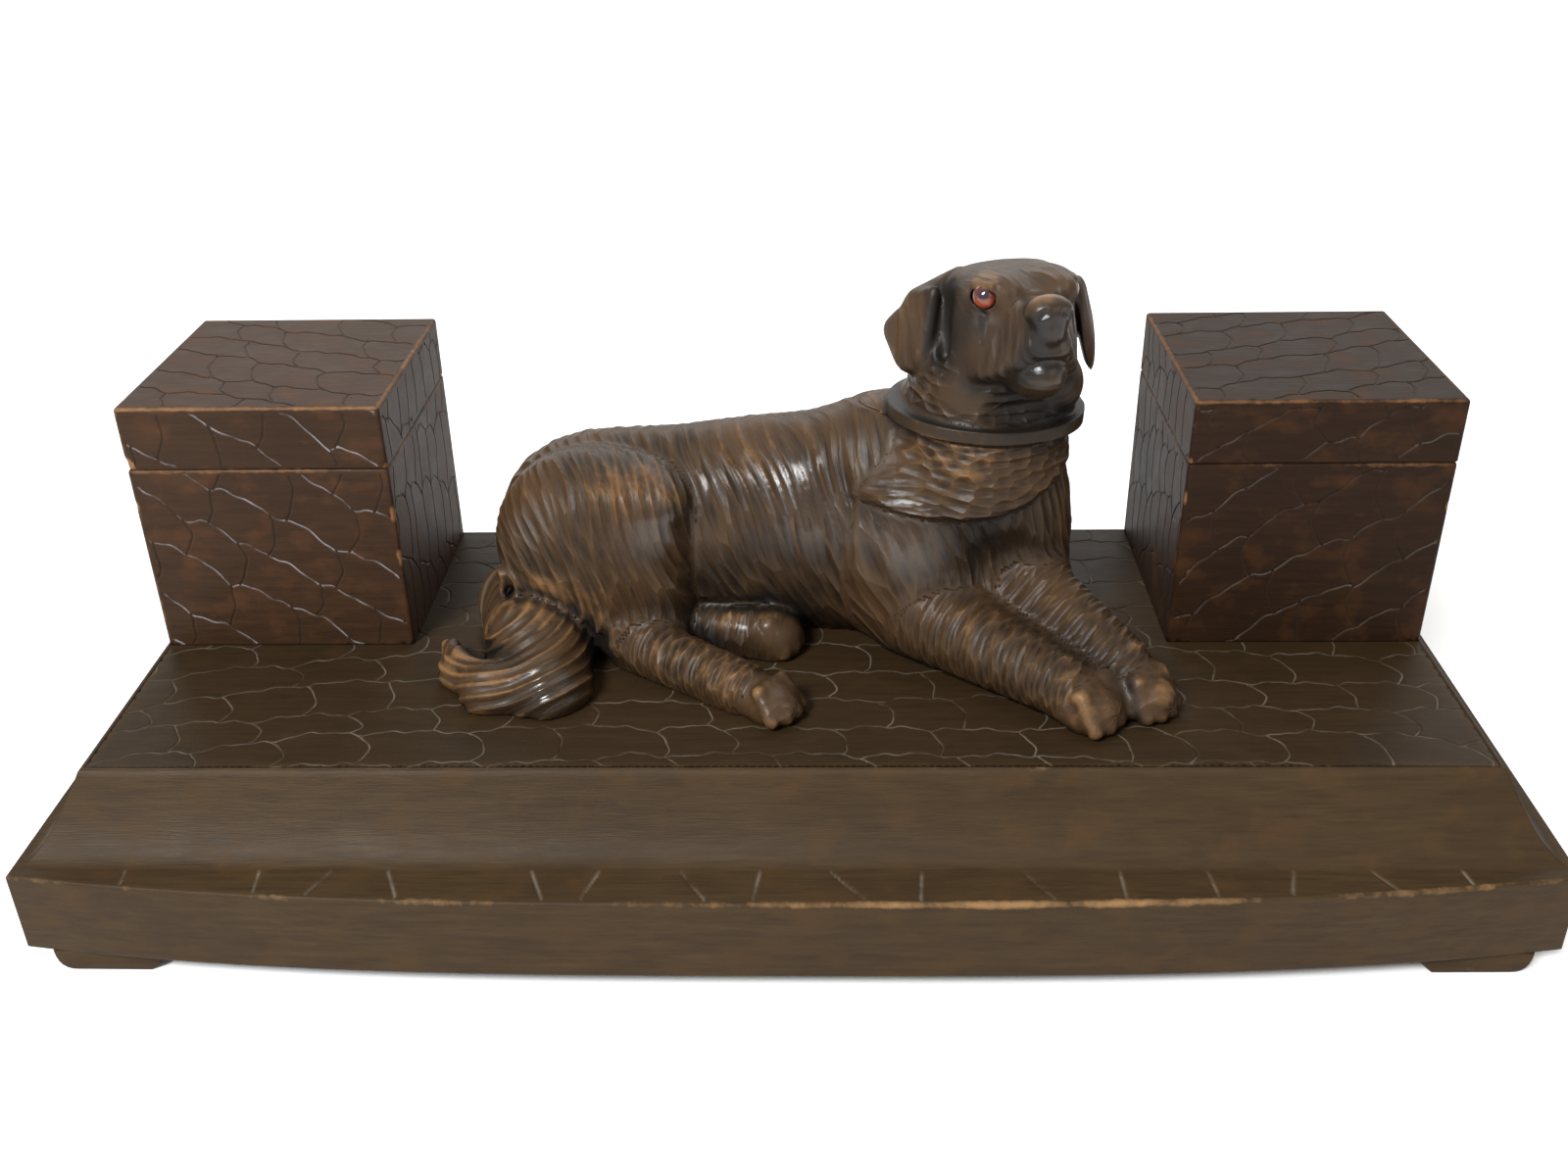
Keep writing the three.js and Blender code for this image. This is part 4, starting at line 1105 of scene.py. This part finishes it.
PAWS = {
    "near hind": ([-4, -37, 4], [9.5, 8, 7], -40, 9),
    "far hind": ([-4, -3, 5], [9, 8.5, 7.5], -18, 5),
    "near fore": ([81, -42, 5], [9.5, 9, 7.5], -38, 7),
    "far fore": ([97, -36, 5.5], [9, 8, 7.5], -50, 7),
}
LEG_MELT = {"near hind": 3, "far hind": 3, "near fore": 4, "far fore": 4}
legs = {key: limb(*LEGS[key]) for key in LEGS}
paws = {key: paw(*PAWS[key]) for key in PAWS}
tail = locks(melt(
    5,
    limb([-80, 14, 6], [-71, -8, 5], 13, 15),
    limb([-71, -8, 5], [-64, -28, 3], 15, 10.5),
    limb([-66, -31, 3], [-82, -30, 3], 9, 7),
    limb([-82, -30, 3], [-92, -20, 3.5], 7, 5),
    limb([-92, -20, 3.5], [-97, -8, 4], 5, 2.8),
), 0.3)
collar = band([54.5, 6.6, 71.4], [27, 23], 4, [0, -2])
body = melt(3, melt(8, trunk, melt(1, carve(4, front, hollow), bib)), haunch)
bust = melt(1, carve(2, melt(1.5, body, in_head(head_mass)), *map(in_head, head_hollows)),
            in_head(ears))
near_hind, far_hind, near_fore, far_fore = (melt(LEG_MELT[key], legs[key], paws[key])
                                            for key in LEGS)
face = melt(1.2, carve(0.5, bust, *map(in_head, sockets + tear_cuts)), *map(in_head, lids))
dog_mass = melt(1.5, melt(6, face, near_hind, near_fore, far_fore), far_hind, tail, collar)


BLOCK = 8
HALF_DIAGONAL = 0.87
POINTS_AT_ONCE = 400000


def corner_views(shape):
    """The eight parts of a grid of points that hold its cells' eight corners, as slices."""
    return [tuple(slice(s, s + n) for s, n in zip(shift, shape))
            for shift in np.ndindex(2, 2, 2)]


def sampled(mass, low, high, step):
    """A distance at the points of a grid. Blocks of cells that lie clear of the surface get
    only its sign, times a number that is far from 0."""
    blocks = np.ceil((np.array(high) - low) / step / BLOCK).astype(int)
    axis = [low[i] + step * (BLOCK * np.arange(blocks[i]) + BLOCK / 2) for i in range(3)]
    far = mass(np.stack(np.meshgrid(*axis, indexing="ij"), -1).astype(np.float32))
    in_cells = lambda values: values.repeat(BLOCK, 0).repeat(BLOCK, 1).repeat(BLOCK, 2)
    near = in_cells(np.abs(far) < step * BLOCK * HALF_DIAGONAL * 1.5)
    field = np.pad(in_cells(np.sign(far) * 9), [(0, 1)] * 3, mode="edge").astype(np.float32)
    wanted = np.zeros(field.shape, bool)
    for corner in corner_views(near.shape):
        wanted[corner] |= near
    places = np.argwhere(wanted)
    values = np.empty(len(places), np.float32)
    for start in range(0, len(places), POINTS_AT_ONCE):
        part = slice(start, start + POINTS_AT_ONCE)
        values[part] = mass(low + places[part].astype(np.float32) * step)
    field[wanted] = values
    return field


def net_faces(inside, number):
    """A four-cornered face across each grid edge whose ends lie on different sides of the
    surface, through the points of the four cells round it."""
    faces = []
    for a in range(3):
        b, c = (a + 1) % 3, (a + 2) % 3
        ahead = np.roll(inside, -1, a)
        change = np.argwhere(inside != ahead)
        top = np.array(inside.shape) - 1
        change = change[(change[:, a] < top[a]) & (change[:, b] > 0) & (change[:, c] > 0)
                        & (change[:, b] < top[b]) & (change[:, c] < top[c])]
        corner = []
        for back_b, back_c in ((1, 1), (0, 1), (0, 0), (1, 0)):
            cell = change.copy()
            cell[:, b] -= back_b
            cell[:, c] -= back_c
            corner.append(number[tuple(cell.T)])
        quads = np.stack(corner, 1)
        outward = inside[tuple(change.T)]
        faces.append(np.where(outward[:, None], quads, quads[:, ::-1]))
    return np.concatenate(faces)


def skin_net(mass, low, high, step):
    """The zero surface of a distance, as points and four-cornered faces. One point stands in
    each cell of a grid that the surface passes through, at the mean of its crossings with the
    cell's edges."""
    low = np.array(low, np.float32)
    field = sampled(mass, low, high, step)
    inside = field < 0
    total = sum(inside[corner].astype(np.int8)
                for corner in corner_views(np.array(inside.shape) - 1))
    active = (total > 0) & (total < 8)
    cells = np.argwhere(active)
    number = np.full(active.shape, -1, np.int64)
    number[active] = np.arange(len(cells))
    summed, crossings = np.zeros((len(cells), 3)), np.zeros(len(cells))
    for a in range(3):
        for shift in np.ndindex(2, 2):
            start = np.insert(np.array(shift), a, 0)
            end = start.copy()
            end[a] = 1
            one = field[tuple((cells + start).T)]
            two = field[tuple((cells + end).T)]
            cross = (one < 0) != (two < 0)
            place = np.repeat(start[None].astype(float), len(cells), 0)
            place[:, a] = np.where(cross, one / np.where(cross, one - two, 1), 0)
            summed += place * cross[:, None]
            crossings += cross
    points = low + (cells + summed / crossings[:, None]) * step
    return points, net_faces(inside, number)


def slope_of(mass, points, reach):
    """The direction in which the distance grows, from its change over a short reach."""
    points = points.astype(np.float32)
    out = np.stack([mass(points + reach * e) - mass(points - reach * e)
                    for e in np.eye(3, dtype=np.float32)], -1)
    return out / np.maximum(length_of(out), 1e-6)[:, None]


def chance(i, j, seed):
    """A number from 0 to 1 that depends only on a cell and a seed."""
    value = np.sin(i * 127.1 + j * 311.7 + seed * 74.7) * 43758.5453
    return value - np.floor(value)


def gouge_cuts(u, v, length, width, seed):
    """Depth, 0 to 1, of overlapping gouge cuts that run along u. The cuts lie in rows across
    v, each row set off at random along u. Each cut is a trough that is deepest along its
    middle line and runs out at both ends. Its place, width, length, lean and depth are drawn
    by chance."""
    row, deepest = np.floor(v / width), np.zeros_like(u)
    for i in (-1, 0, 1):
        line = row + i
        shift = chance(line, 7.0, seed)
        cell = np.floor(u / length + shift)
        for j in (-1, 0, 1):
            place = cell + j
            draw = lambda number: chance(line, place, seed + number)
            middle_v = (line + 0.5 + 0.5 * (draw(1) - 0.5)) * width
            middle_u = (place + 0.5 - shift + 0.4 * (draw(2) - 0.5)) * length
            half_v = width * (0.5 + 0.28 * draw(3))
            half_u = length * (0.55 + 0.35 * draw(4))
            lean = 0.12 * (draw(5) - 0.5)
            across = (v - middle_v - lean * (u - middle_u)) / half_v
            along = (u - middle_u) / half_u
            cut = (1 - across ** 2) * np.sqrt(np.clip(1 - along ** 2, 0, 1))
            deepest = np.maximum(deepest, cut * (0.7 + 0.3 * draw(6)))
    return deepest


def wander(points, scale, seed):
    """A slow random wave over space: three sines in random directions."""
    rng = np.random.default_rng(seed)
    total = 0
    for _ in range(3):
        way = rng.normal(size=3)
        total = total + np.sin(points @ (way / np.linalg.norm(way)) * FULL_TURN / scale
                               + rng.uniform(0, FULL_TURN))
    return total / 3


def round_upright(points, x, y, radius):
    """Arc length round an upright axis, growing from the dog's rump side to its breast, the
    same on the near side and the far one."""
    return radius * np.arctan2(points[:, 0] - x, np.abs(points[:, 1] - y))


def round_back(points, y=22, z=26, radius=30):
    """Arc length up the flank to the spine, the same on the near side and the far one."""
    return radius * np.arctan2(points[:, 2] - z, np.abs(points[:, 1] - y))


def along_limb(points, start, end, radius=9):
    """How far along a limb a point lies, and the arc length round it from its top."""
    start, end = np.array(start, float), np.array(end, float)
    way = (end - start) / np.linalg.norm(end - start)
    side = np.cross(way, [0, 0, 1])
    side /= np.linalg.norm(side)
    over = np.cross(side, way)
    p = points - start
    return p @ way, radius * np.arctan2(p @ side, p @ over)


# The share of a cut's depth that is in the mesh; the rest is the bump's. Near the border of two
# parts there are no cuts, and they fade in beyond it.
MESH_SHARE = 0.55
BORDER_PLAIN = 0.3
BORDER_FADE = 1.8
HOLLOW_CLEAR = 1.5
COLLAR_PART = 5 + 2 * len(LEGS)


def coat(points):
    """The carving over the dog's skin. Each part of the dog has its own run of cuts; a point
    takes those of the part whose mass lies nearest. They are weaker on the nape and left out
    in the eyes' sockets and the head's hollows. Returns the cut's depth in millimetres,
    the run's two coordinates in cuts' lengths and widths, how strongly fine hair is scratched
    over it, how near a ridge it lies, its part, and the depth of the cuts drawn over it."""
    on_head = (points - HEAD_AT) @ HEAD_ROWS.T
    x, y, z = points.T
    fore, left, up = on_head.T
    points32, head32 = points.astype(np.float32), on_head.astype(np.float32)
    flank = round_back(points)
    neck = round_upright(points, 55, 7, 22)
    drift = 1.6 * wander(points, 30, 3)
    parts = []

    def part(distance, u, v, length, width, depth, fine, seed):
        """u runs along the cuts and v across them. Their length, width and depth follow in
        millimetres, then how strongly hair is scratched over them."""
        parts.append((distance, u, v + drift, length, width, depth, fine, seed))

    part(trunk(points32), flank, x + 0.35 * flank, 17, 3.2, 1.15, 0.7, 10)
    part(haunch(points32) - 0.3, flank, x + 0.38 * flank, 11, 2.6, 0.95, 0.8, 20)
    part(carve(4, front, hollow)(points32), z, neck + 0.28 * z, 15, 2.9, 1.15, 0.7, 30)
    part(bib(points32) - 0.2, neck, z + 0.05 * neck, 5.4, 2.6, 1.0, 0.4, 40)
    for number, key in enumerate(LEGS):
        along, around = along_limb(points, *LEGS[key][:2])
        part(legs[key](points32) - 0.2, around, along - 0.1 * around, 7.5, 2.1, 0.8, 0.4,
             50 + number)
        part(paws[key](points32), around, along + 0.3 * around, 9, 3.2, 0.25, 0.2, 60 + number)
    turn = 14 * np.arctan2(y - TAIL_MIDDLE[1], x - TAIL_MIDDLE[0])
    part(tail(points32), turn, lock_rings(points) + 2.2 - 0.7 * drift, 70, LOCK, 0.6, 0.6, 70)
    part(collar(points32) - 0.5, neck, z, 30, 6, 0.06, 0.1, 80)
    part(skull(head32), fore, left + 0.3 * up, 9, 2.2, 0.3, 0.5, 90)
    part(cheeks(head32), up, fore, 11, 2.5, 0.5, 0.6, 100)
    part(chin(head32), fore, up, 6, 3.4, 0.45, 0.1, 110)
    part(nose(head32) - 0.2, fore, left, 6, 4.0, 0.1, 0.0, 120)
    part(ears(head32) - 0.2, up, fore + 0.25 * up, 30, 4.4, 0.6, 0.5, 130)
    part(ruff(head32), up - 0.4 * fore, fore + 0.4 * up, 13, 2.2, 0.35, 0.6, 140)
    hollows = np.minimum.reduce([one(head32) for one in head_hollows[:4] + sockets])
    nape = np.clip((z - 54) / 8, 0, 1) * (x < 30)
    near = np.stack([one[0] for one in parts])
    nearest = near.argmin(0)
    border = np.clip((np.partition(near, 1, 0)[1] - near.min(0) - BORDER_PLAIN) / BORDER_FADE, 0, 1)
    calm = np.clip(hollows / HOLLOW_CLEAR, 0, 1) * (1 - 0.55 * nape) * border
    depth, u, v, fine, ridge, strength = np.zeros((6, len(points)))
    for k, (_, pu, pv, length, width, deep, hair, seed) in enumerate(parts):
        mine = nearest == k
        cut = gouge_cuts(pu[mine], pv[mine], length, width, seed)
        depth[mine] = MESH_SHARE * deep * cut * calm[mine]
        ridge[mine] = (1 - cut) * min(1, deep / 0.6)
        u[mine] = pu[mine] / length
        v[mine] = pv[mine] / width + seed * 3.0
        fine[mine] = hair * border[mine]
        strength[mine] = deep * calm[mine]
    return depth, u, v, fine, ridge, nearest, strength


# Where hands have rubbed the stain away, where the varnish still shines, and where the wood is
# painted darker: painted shade in the hollows, under the chin, breast and flank, between the
# legs and on the far foreleg, and the darker nose, lip and chin. Each is a centre on the dog, a
# reach, and how strongly.
RUBBED = [
    ((-46, -1, 57), 13, 0.4), ((-33, -4, 53), 8, 0.35), ((-70, -8, 24), 10, 0.5),
    ((-58, -13, 21), 9, 0.5), ((-42, -18, 13), 8, 0.3), ((-30, -24, 12), 10, 0.25),
    ((-14, -34, 12), 10, 0.35), ((-18, -2, 15), 8, 0.6), ((-4, -4, 14), 5, 0.5),
    ((-91, -22, 10), 9, 0.9), ((-78, -34, 9), 6, 0.6), ((-68, -12, 19), 8, 0.5),
    ((50, -25, 22), 10, 0.25), ((65, -35, 18), 12, 0.25), ((77, -47, 9), 7, 0.6),
    ((94, -27, 19), 9, 0.35), ((101, -40, 11), 6, 0.7), ((38, -9, 66), 9, 0.5),
    ((50, -14, 68), 10, 0.6), ((52, -7, 114), 5, 0.6), ((65, -21, 112.5), 4.2, 1.1),
    ((-7, 5, 55), 15, 0.35), ((68, -28, 107), 4.5, -0.9), ((67, -26, 94), 8, -0.5),
]
VARNISHED = [
    ((-27, -4, 45), 9, 0.8), ((0, -2, 45), 11, 0.6), ((10, -1, 42), 9, 0.9),
    ((-36, -12, 42), 8, 0.8), ((28, -13, 42), 9, 0.8), ((36, -15, 36), 9, 0.7),
    ((68, -27, 93), 8, 0.6), ((-9, -10, 9), 7, 0.3), ((68, -27, 107), 5, 0.75),
    ((51, -13, 101), 3.5, 1.2), ((-62, -39, 6), 9, 0.7), ((0, -42, 6), 6, 0.5),
]

# Painted shade, and the darker nose, lip and chin.
SHADED = [
    ((40.7, 0, 104), 5, 0.6), ((41, -2.5, 95), 6, 0.7), ((42, -5.5, 87), 6, 0.4),
    ((67, -26, 107), 6, 0.6), ((61, -25, 106), 3, 0.5), ((63, -28, 101), 6, 0.4),
    ((63.5, -25, 93), 7, 0.5), ((62, -18, 82), 9, 0.6), ((50, -17, 98), 12, 0.2),
    ((-5, -3, 34), 12, 0.35), ((62, -17, 42), 14, 0.45), ((91, -28, 14), 14, 0.2),
    ((52, -14, 60), 14, 0.15), ((46, -9, 99), 7, 0.35), ((47, -12, 88), 7, 0.3),
    ((50, -15, 41), 8, 0.4), ((-21, -3, 23), 7, 0.45), ((8, -5, 24), 12, 0.25),
    ((60, -10, 77), 6, 0.5), ((70, -8, 77), 6, 0.5),
]


def places(points, spots):
    """How much of a list of spots reaches each point, each falling off as a bell curve."""
    total = np.zeros(len(points))
    for centre, reach, strength in spots:
        away = ((points - np.array(centre)) ** 2).sum(1)
        total += strength * np.exp(-away / reach ** 2)
    return total


def dog_wood():
    """Walnut stain under varnish. The gouge's facets are cells drawn out along the run of the
    coat, painted dark in the middle, where the trough is, and light at their edges: painted
    shade and highlight of the cuts. The shade mark darkens the stain with painted shade and
    darker on the collar, wear uncovers the orange-brown wood on ridges and high places, and fine
    scratches follow the run."""
    material, wood, shader = new_paint("dog wood")
    run = wood.mark("run")["Vector"]
    cut, fine, shine = (wood.mark(name)["Fac"] for name in ("cut", "hair", "shine"))
    hair = wood.noise(wood.stretched(run, (1.9, 3.3, 1.0)), 1.0, 3, 0.6)
    hair_fine = wood.noise(wood.stretched(run, (3.6, 8.0, 1.0)), 1.0, 2, 0.5)
    patch = wood.noise(wood.place(), 38.0, 4, 0.6)
    speck = wood.noise(wood.place(), 300.0, 4, 0.65)
    cells = wood.tree.nodes.new("ShaderNodeTexVoronoi")
    cells.voronoi_dimensions = "2D"
    cells.inputs["Scale"].default_value = 1.0
    cells.inputs["Randomness"].default_value = 0.85
    wood.feed(cells.inputs["Vector"], run)
    from_middle = cells.outputs["Distance"]
    # Painted shade and highlight of the cuts: below 0 in a facet's middle, where its trough is, and
    # above 0 at its rim; the rim is also rubbed.
    facet = wood.times(wood.less(from_middle, 0.42), wood.times(cut, 1.5, clamp=True))
    hair = wood.times(wood.less(hair, 0.5), wood.times(fine, 1.6, clamp=True))
    tone = wood.add(wood.times(hair, 0.6), wood.times(facet, 0.5))
    colour = wood.blend(wood.spread(tone, -0.2, 0.25), (0.014, 0.007, 0.003),
                        (0.068, 0.039, 0.018))
    colour = wood.blend(wood.spread(patch, 0.45, 0.7), colour, (0.058, 0.029, 0.012))
    rub = wood.add(wood.mark("wear")["Fac"], wood.times(wood.less(speck, 0.5), 0.9))
    rub = wood.add(rub, wood.times(wood.less(patch, 0.5), 0.8))
    rub = wood.spread(wood.add(rub, wood.times(facet, 0.6)), 0.35, 0.95)
    colour = wood.blend(wood.times(rub, 0.85), colour, (0.18, 0.092, 0.036))
    # Painted shade from the shade mark, and darker on the collar.
    painted_shade_and_collar = wood.spread(wood.mark("shade_and_collar")["Fac"], 0.25, 0.9)
    colour = wood.blend(painted_shade_and_collar, colour, (0.010, 0.007, 0.005))
    wood.feed(shader.inputs["Base Color"], colour)
    gloss = wood.less(wood.add(wood.times(speck, 0.25), 0.33), wood.times(shine, 0.2))
    wood.feed(shader.inputs["Roughness"], gloss)
    shader.inputs["Specular IOR Level"].default_value = 0.22
    wood.feed(shader.inputs["Coat Weight"], wood.times(shine, 0.8, clamp=True))
    shader.inputs["Coat Roughness"].default_value = 0.16
    shader.inputs["Coat Tint"].default_value = (0.85, 0.92, 1.0, 1)
    scratches = wood.times(wood.add(hair, wood.times(hair_fine, 0.5)), 0.3)
    bowl = wood.times(wood.maths("POWER", from_middle, 2.0), cut)
    height = wood.maths("MULTIPLY_ADD", bowl, 1.8, wood.times(scratches, fine))
    wood.bump(height, 1.0, 0.001, shader)
    return material


# How far the whole skin lies inside its solid, so that no ridge passes it, and over what
# distances it is felt for swellings and for other wood in front of it.
SKIN_INSET = 0.2
SWELL_REACH = 3
CREASE_REACH = 4
HOLLOW_REACH = 9


def dog_piece(name, low, high, step, keep):
    """One part of the dog's skin, on the side of the neck that keep says, cut and marked. The
    net's points first go onto the surface itself, but for those on the ground or the neck's
    cut. Swellings and ridges are worn; creases, hollows and the cuts' bottoms get painted
    shade, and the collar is darker."""
    mass = lambda p: np.maximum(np.maximum(dog_mass(p), -p[..., 2]), keep(p))
    points, faces = skin_net(mass, low, high, step)
    normals = slope_of(mass, points, 0.3)
    near = step * 0.6
    p32 = points.astype(np.float32)
    free = (points[:, 2] > near) & (np.abs(keep(p32)) > near)
    points = points - (normals * mass(p32)[:, None]) * free[:, None]
    depth, u, v, fine, ridge, part, strength = coat(points)
    p32 = points.astype(np.float32)
    swell = sum(mass(p32 + SWELL_REACH * e) + mass(p32 - SWELL_REACH * e)
                for e in np.eye(3, dtype=np.float32)) / SWELL_REACH ** 2 * 3
    # Painted shade: how much other wood stands in front of each point, over a short and a long
    # reach.
    crowded = lambda reach: 1 - np.clip(
        mass((points + normals * reach).astype(np.float32)) / reach, 0, 1)
    crease, hollowed = crowded(CREASE_REACH), crowded(HOLLOW_REACH)
    fade = np.clip(points[:, 2] / 1.2, 0, 1)
    points = points - normals * ((depth * fade + SKIN_INSET) * free)[:, None]
    points[:, 2] = np.where(points[:, 2] < near, 0, points[:, 2])
    on_collar = part == COLLAR_PART
    wear = np.clip(0.25 * swell, -0.4, 0.7) + 0.25 * ridge - 0.5 * crease - 0.1
    wear += places(points, RUBBED) * (0.8 + 0.4 * ridge) - 0.25 * on_collar
    # Painted shade at the bottoms of the cuts and at the listed shaded spots; the collar is darker.
    shaded_cut_bottoms = 0.3 * (depth > 0) * (1 - ridge) * fine
    painted_shade_and_collar = places(points, SHADED) + 0.45 * on_collar
    marks = {"wear": wear, "hair": fine, "cut": strength * fade,
             "shine": np.clip(places(points, VARNISHED), 0, 1),
             "shade_and_collar": 0.6 * crease + 0.5 * hollowed + shaded_cut_bottoms + painted_shade_and_collar}
    piece = add_piece(name, points + DOG_AT, faces.tolist(), DOG_WOOD, "dog", marks)
    run = np.stack([u, v, np.zeros_like(u)], 1)
    layer = piece.data.attributes.new("run", "FLOAT_VECTOR", "POINT")
    layer.data.foreach_set("vector", run.astype(np.float32).ravel())


DOG_WOOD = dog_wood()
BODY_STEP = 0.8
HEAD_STEP = 0.55

# The skin is parted under the collar, square to the neck.
NECK = np.array([54.5, 6.6, 68.5])
tilt = rows_of(0, -2)[2].astype(np.float32)
neck_side = lambda p: (p @ tilt) - float(NECK @ tilt)
dog_piece("dog-body", [-106, -58, -3.2], [112, 62, 76], BODY_STEP, neck_side)
dog_piece("dog-head", [16, -44, 64], [106, 50, 124], HEAD_STEP, lambda p: -neck_side(p))


# EYES
# Two amber glass eyes with dark pupils, pressed into their bored sockets.

EYE_BALL = 3.3
EYE_SINK = {"right_eye": 0.1, "left_eye": 1.4}
SIGHT = 0.84, 0.52, 0.15
PUPIL = 0.36


def glass_eye(node, side):
    """A ball in rings round its line of sight. Each point is marked with how far round from
    the pupil's middle it lies, as a share of the half turn, and with how high it lies."""
    sight = np.array(SIGHT) * [1, side, 1]
    sight = sight / length_of(sight)
    own = np.array(EYE_AT) * [1, side, 1] - EYE_SINK[node] * sight
    sight = sight @ HEAD_ROWS
    across = np.cross(sight, [0, 0, 1])
    across /= length_of(across)
    over = np.cross(across, sight)
    from_pupil = np.linspace(0, math.pi, 33)[:, None, None]
    around = np.linspace(0, 2 * math.pi, 49)[None, :-1, None]
    ball = (sight * np.cos(from_pupil)
            + (across * np.cos(around) + over * np.sin(around)) * np.sin(from_pupil))
    points = DOG_AT + HEAD_AT + own @ HEAD_ROWS + EYE_BALL * ball
    marks = {"pupil": np.broadcast_to(from_pupil / math.pi, ball.shape)[..., 0].ravel(),
             "height": ball[..., 2].ravel()}
    add_piece(node.replace("_", "-"), points.reshape(-1, 3),
              grid_faces(*points.shape[:2], closed=True), amber_glass, node, marks,
              WELD)


amber_glass, glass, shader = new_paint("amber glass")
# Painted shade: the iris is darker towards its top, under the lid.
shade_under_lid = glass.spread(glass.mark("height")["Fac"], -0.35, 0.35)
iris = glass.blend(shade_under_lid, (0.26, 0.050, 0.020), (0.062, 0.020, 0.016))
cloud = glass.times(glass.noise(glass.place(), 900.0, 3, 0.5), 0.4)
iris = glass.blend(cloud, iris, (0.12, 0.022, 0.010))
from_pupil = glass.mark("pupil")["Fac"]
iris = glass.blend(glass.spread(from_pupil, 0.30, 0.42), iris, (0.03, 0.006, 0.004))
pupil = glass.spread(from_pupil, PUPIL / 2.6, PUPIL / 3.2)
iris = glass.blend(pupil, iris, (0.024, 0.018, 0.026))
glass.feed(shader.inputs["Base Color"], iris)
shader.inputs["Roughness"].default_value = 0.09
shader.inputs["Specular IOR Level"].default_value = 0.6
glass_eye("right_eye", -1)
glass_eye("left_eye", 1)


# SETTING
# A plain pale floor and soft studio light, seen from the photograph's place.

CAMERA_AT = 9.9, -376.1, 284.6
CAMERA_DOWN, CAMERA_ROLL, CAMERA_YAW = 29.159, 1.009, 1.619
LENS = 35.376


def camera_turn():
    """The camera's axes as columns: right, up and backwards, from a turn about the upright,
    a tilt down and a roll about the line of sight."""
    yaw, down, roll = (math.radians(a) for a in (CAMERA_YAW, CAMERA_DOWN, CAMERA_ROLL))
    turn = Matrix(((math.cos(yaw), math.sin(yaw), 0), (-math.sin(yaw), math.cos(yaw), 0),
                   (0, 0, 1)))
    look = Matrix(((1, 0, 0), (0, -math.sin(down), -math.cos(down)),
                   (0, math.cos(down), -math.sin(down))))
    spin = Matrix(((math.cos(roll), math.sin(roll), 0), (-math.sin(roll), math.cos(roll), 0),
                   (0, 0, 1)))
    right, below, ahead = spin @ look @ turn
    return Matrix((right, -below, -ahead)).transposed()


lens = bpy.data.cameras.new("camera")
lens.lens = LENS
lens.sensor_width = 36.0
lens.sensor_fit = "HORIZONTAL"
lens.clip_start = 0.01
camera = add_object("camera", lens)
camera.matrix_world = Matrix.Translation(Vector(CAMERA_AT) / 1000) @ camera_turn().to_4x4()
bpy.context.scene.camera = camera

floor_mesh = bpy.data.meshes.new("floor")
floor_mesh.from_pydata([(-6, -6, 0), (6, -6, 0), (6, 6, 0), (-6, 6, 0)], [], [(0, 1, 2, 3)])
floor_paint, _, shader = new_paint("pale floor")
shader.inputs["Base Color"].default_value = (0.9, 0.9, 0.9, 1)
shader.inputs["Roughness"].default_value = 0.9
floor_mesh.materials.append(floor_paint)
floor = add_object("floor", floor_mesh)

sky = bpy.data.worlds.new("sky")
sky.use_nodes = True
glow = sky.node_tree.nodes["Background"]
glow.inputs["Color"].default_value = (0.97, 0.98, 1.0, 1)
glow.inputs["Strength"].default_value = 0.42
bpy.context.scene.world = sky


def aimed(lamp, way):
    """Turns a lamp so that it shines along a direction."""
    lamp.rotation_euler = Vector(way).to_track_quat("-Z", "Y").to_euler()


def soft_light(name, at, aim, width, height, watts, colour):
    """An area light at a place, aimed at another, both in metres."""
    data = bpy.data.lights.new(name, "AREA")
    data.shape = "RECTANGLE"
    data.size, data.size_y = width, height
    data.energy = watts
    data.color = colour
    lamp = add_object(name, data)
    lamp.location = at
    aimed(lamp, Vector(aim) - Vector(at))


soft_light("window", (-0.5, -0.7, 0.8), (0, 0, 0.06), 0.35, 0.3, 10, (0.88, 0.94, 1.0))
soft_light("room", (0.9, -0.7, 0.7), (0, 0, 0.05), 0.9, 0.6, 1.5, (1.0, 0.95, 0.88))
soft_light("above", (0.1, 0.25, 1.2), (0, 0, 0.05), 1.2, 0.8, 4, (1.0, 0.98, 0.95))
soft_light("back wall", (0.1, 1.3, 0.8), (0, 0, 0.05), 2.4, 0.7, 12, (1.0, 0.99, 0.96))
sun = bpy.data.lights.new("daylight", "SUN")
sun.energy = 2.6
sun.angle = math.radians(14)
sun.color = (1.0, 0.99, 0.96)
aimed(add_object("daylight", sun), (0.4, 0.7, -0.8))
bpy.context.scene.view_settings.view_transform = "Standard"
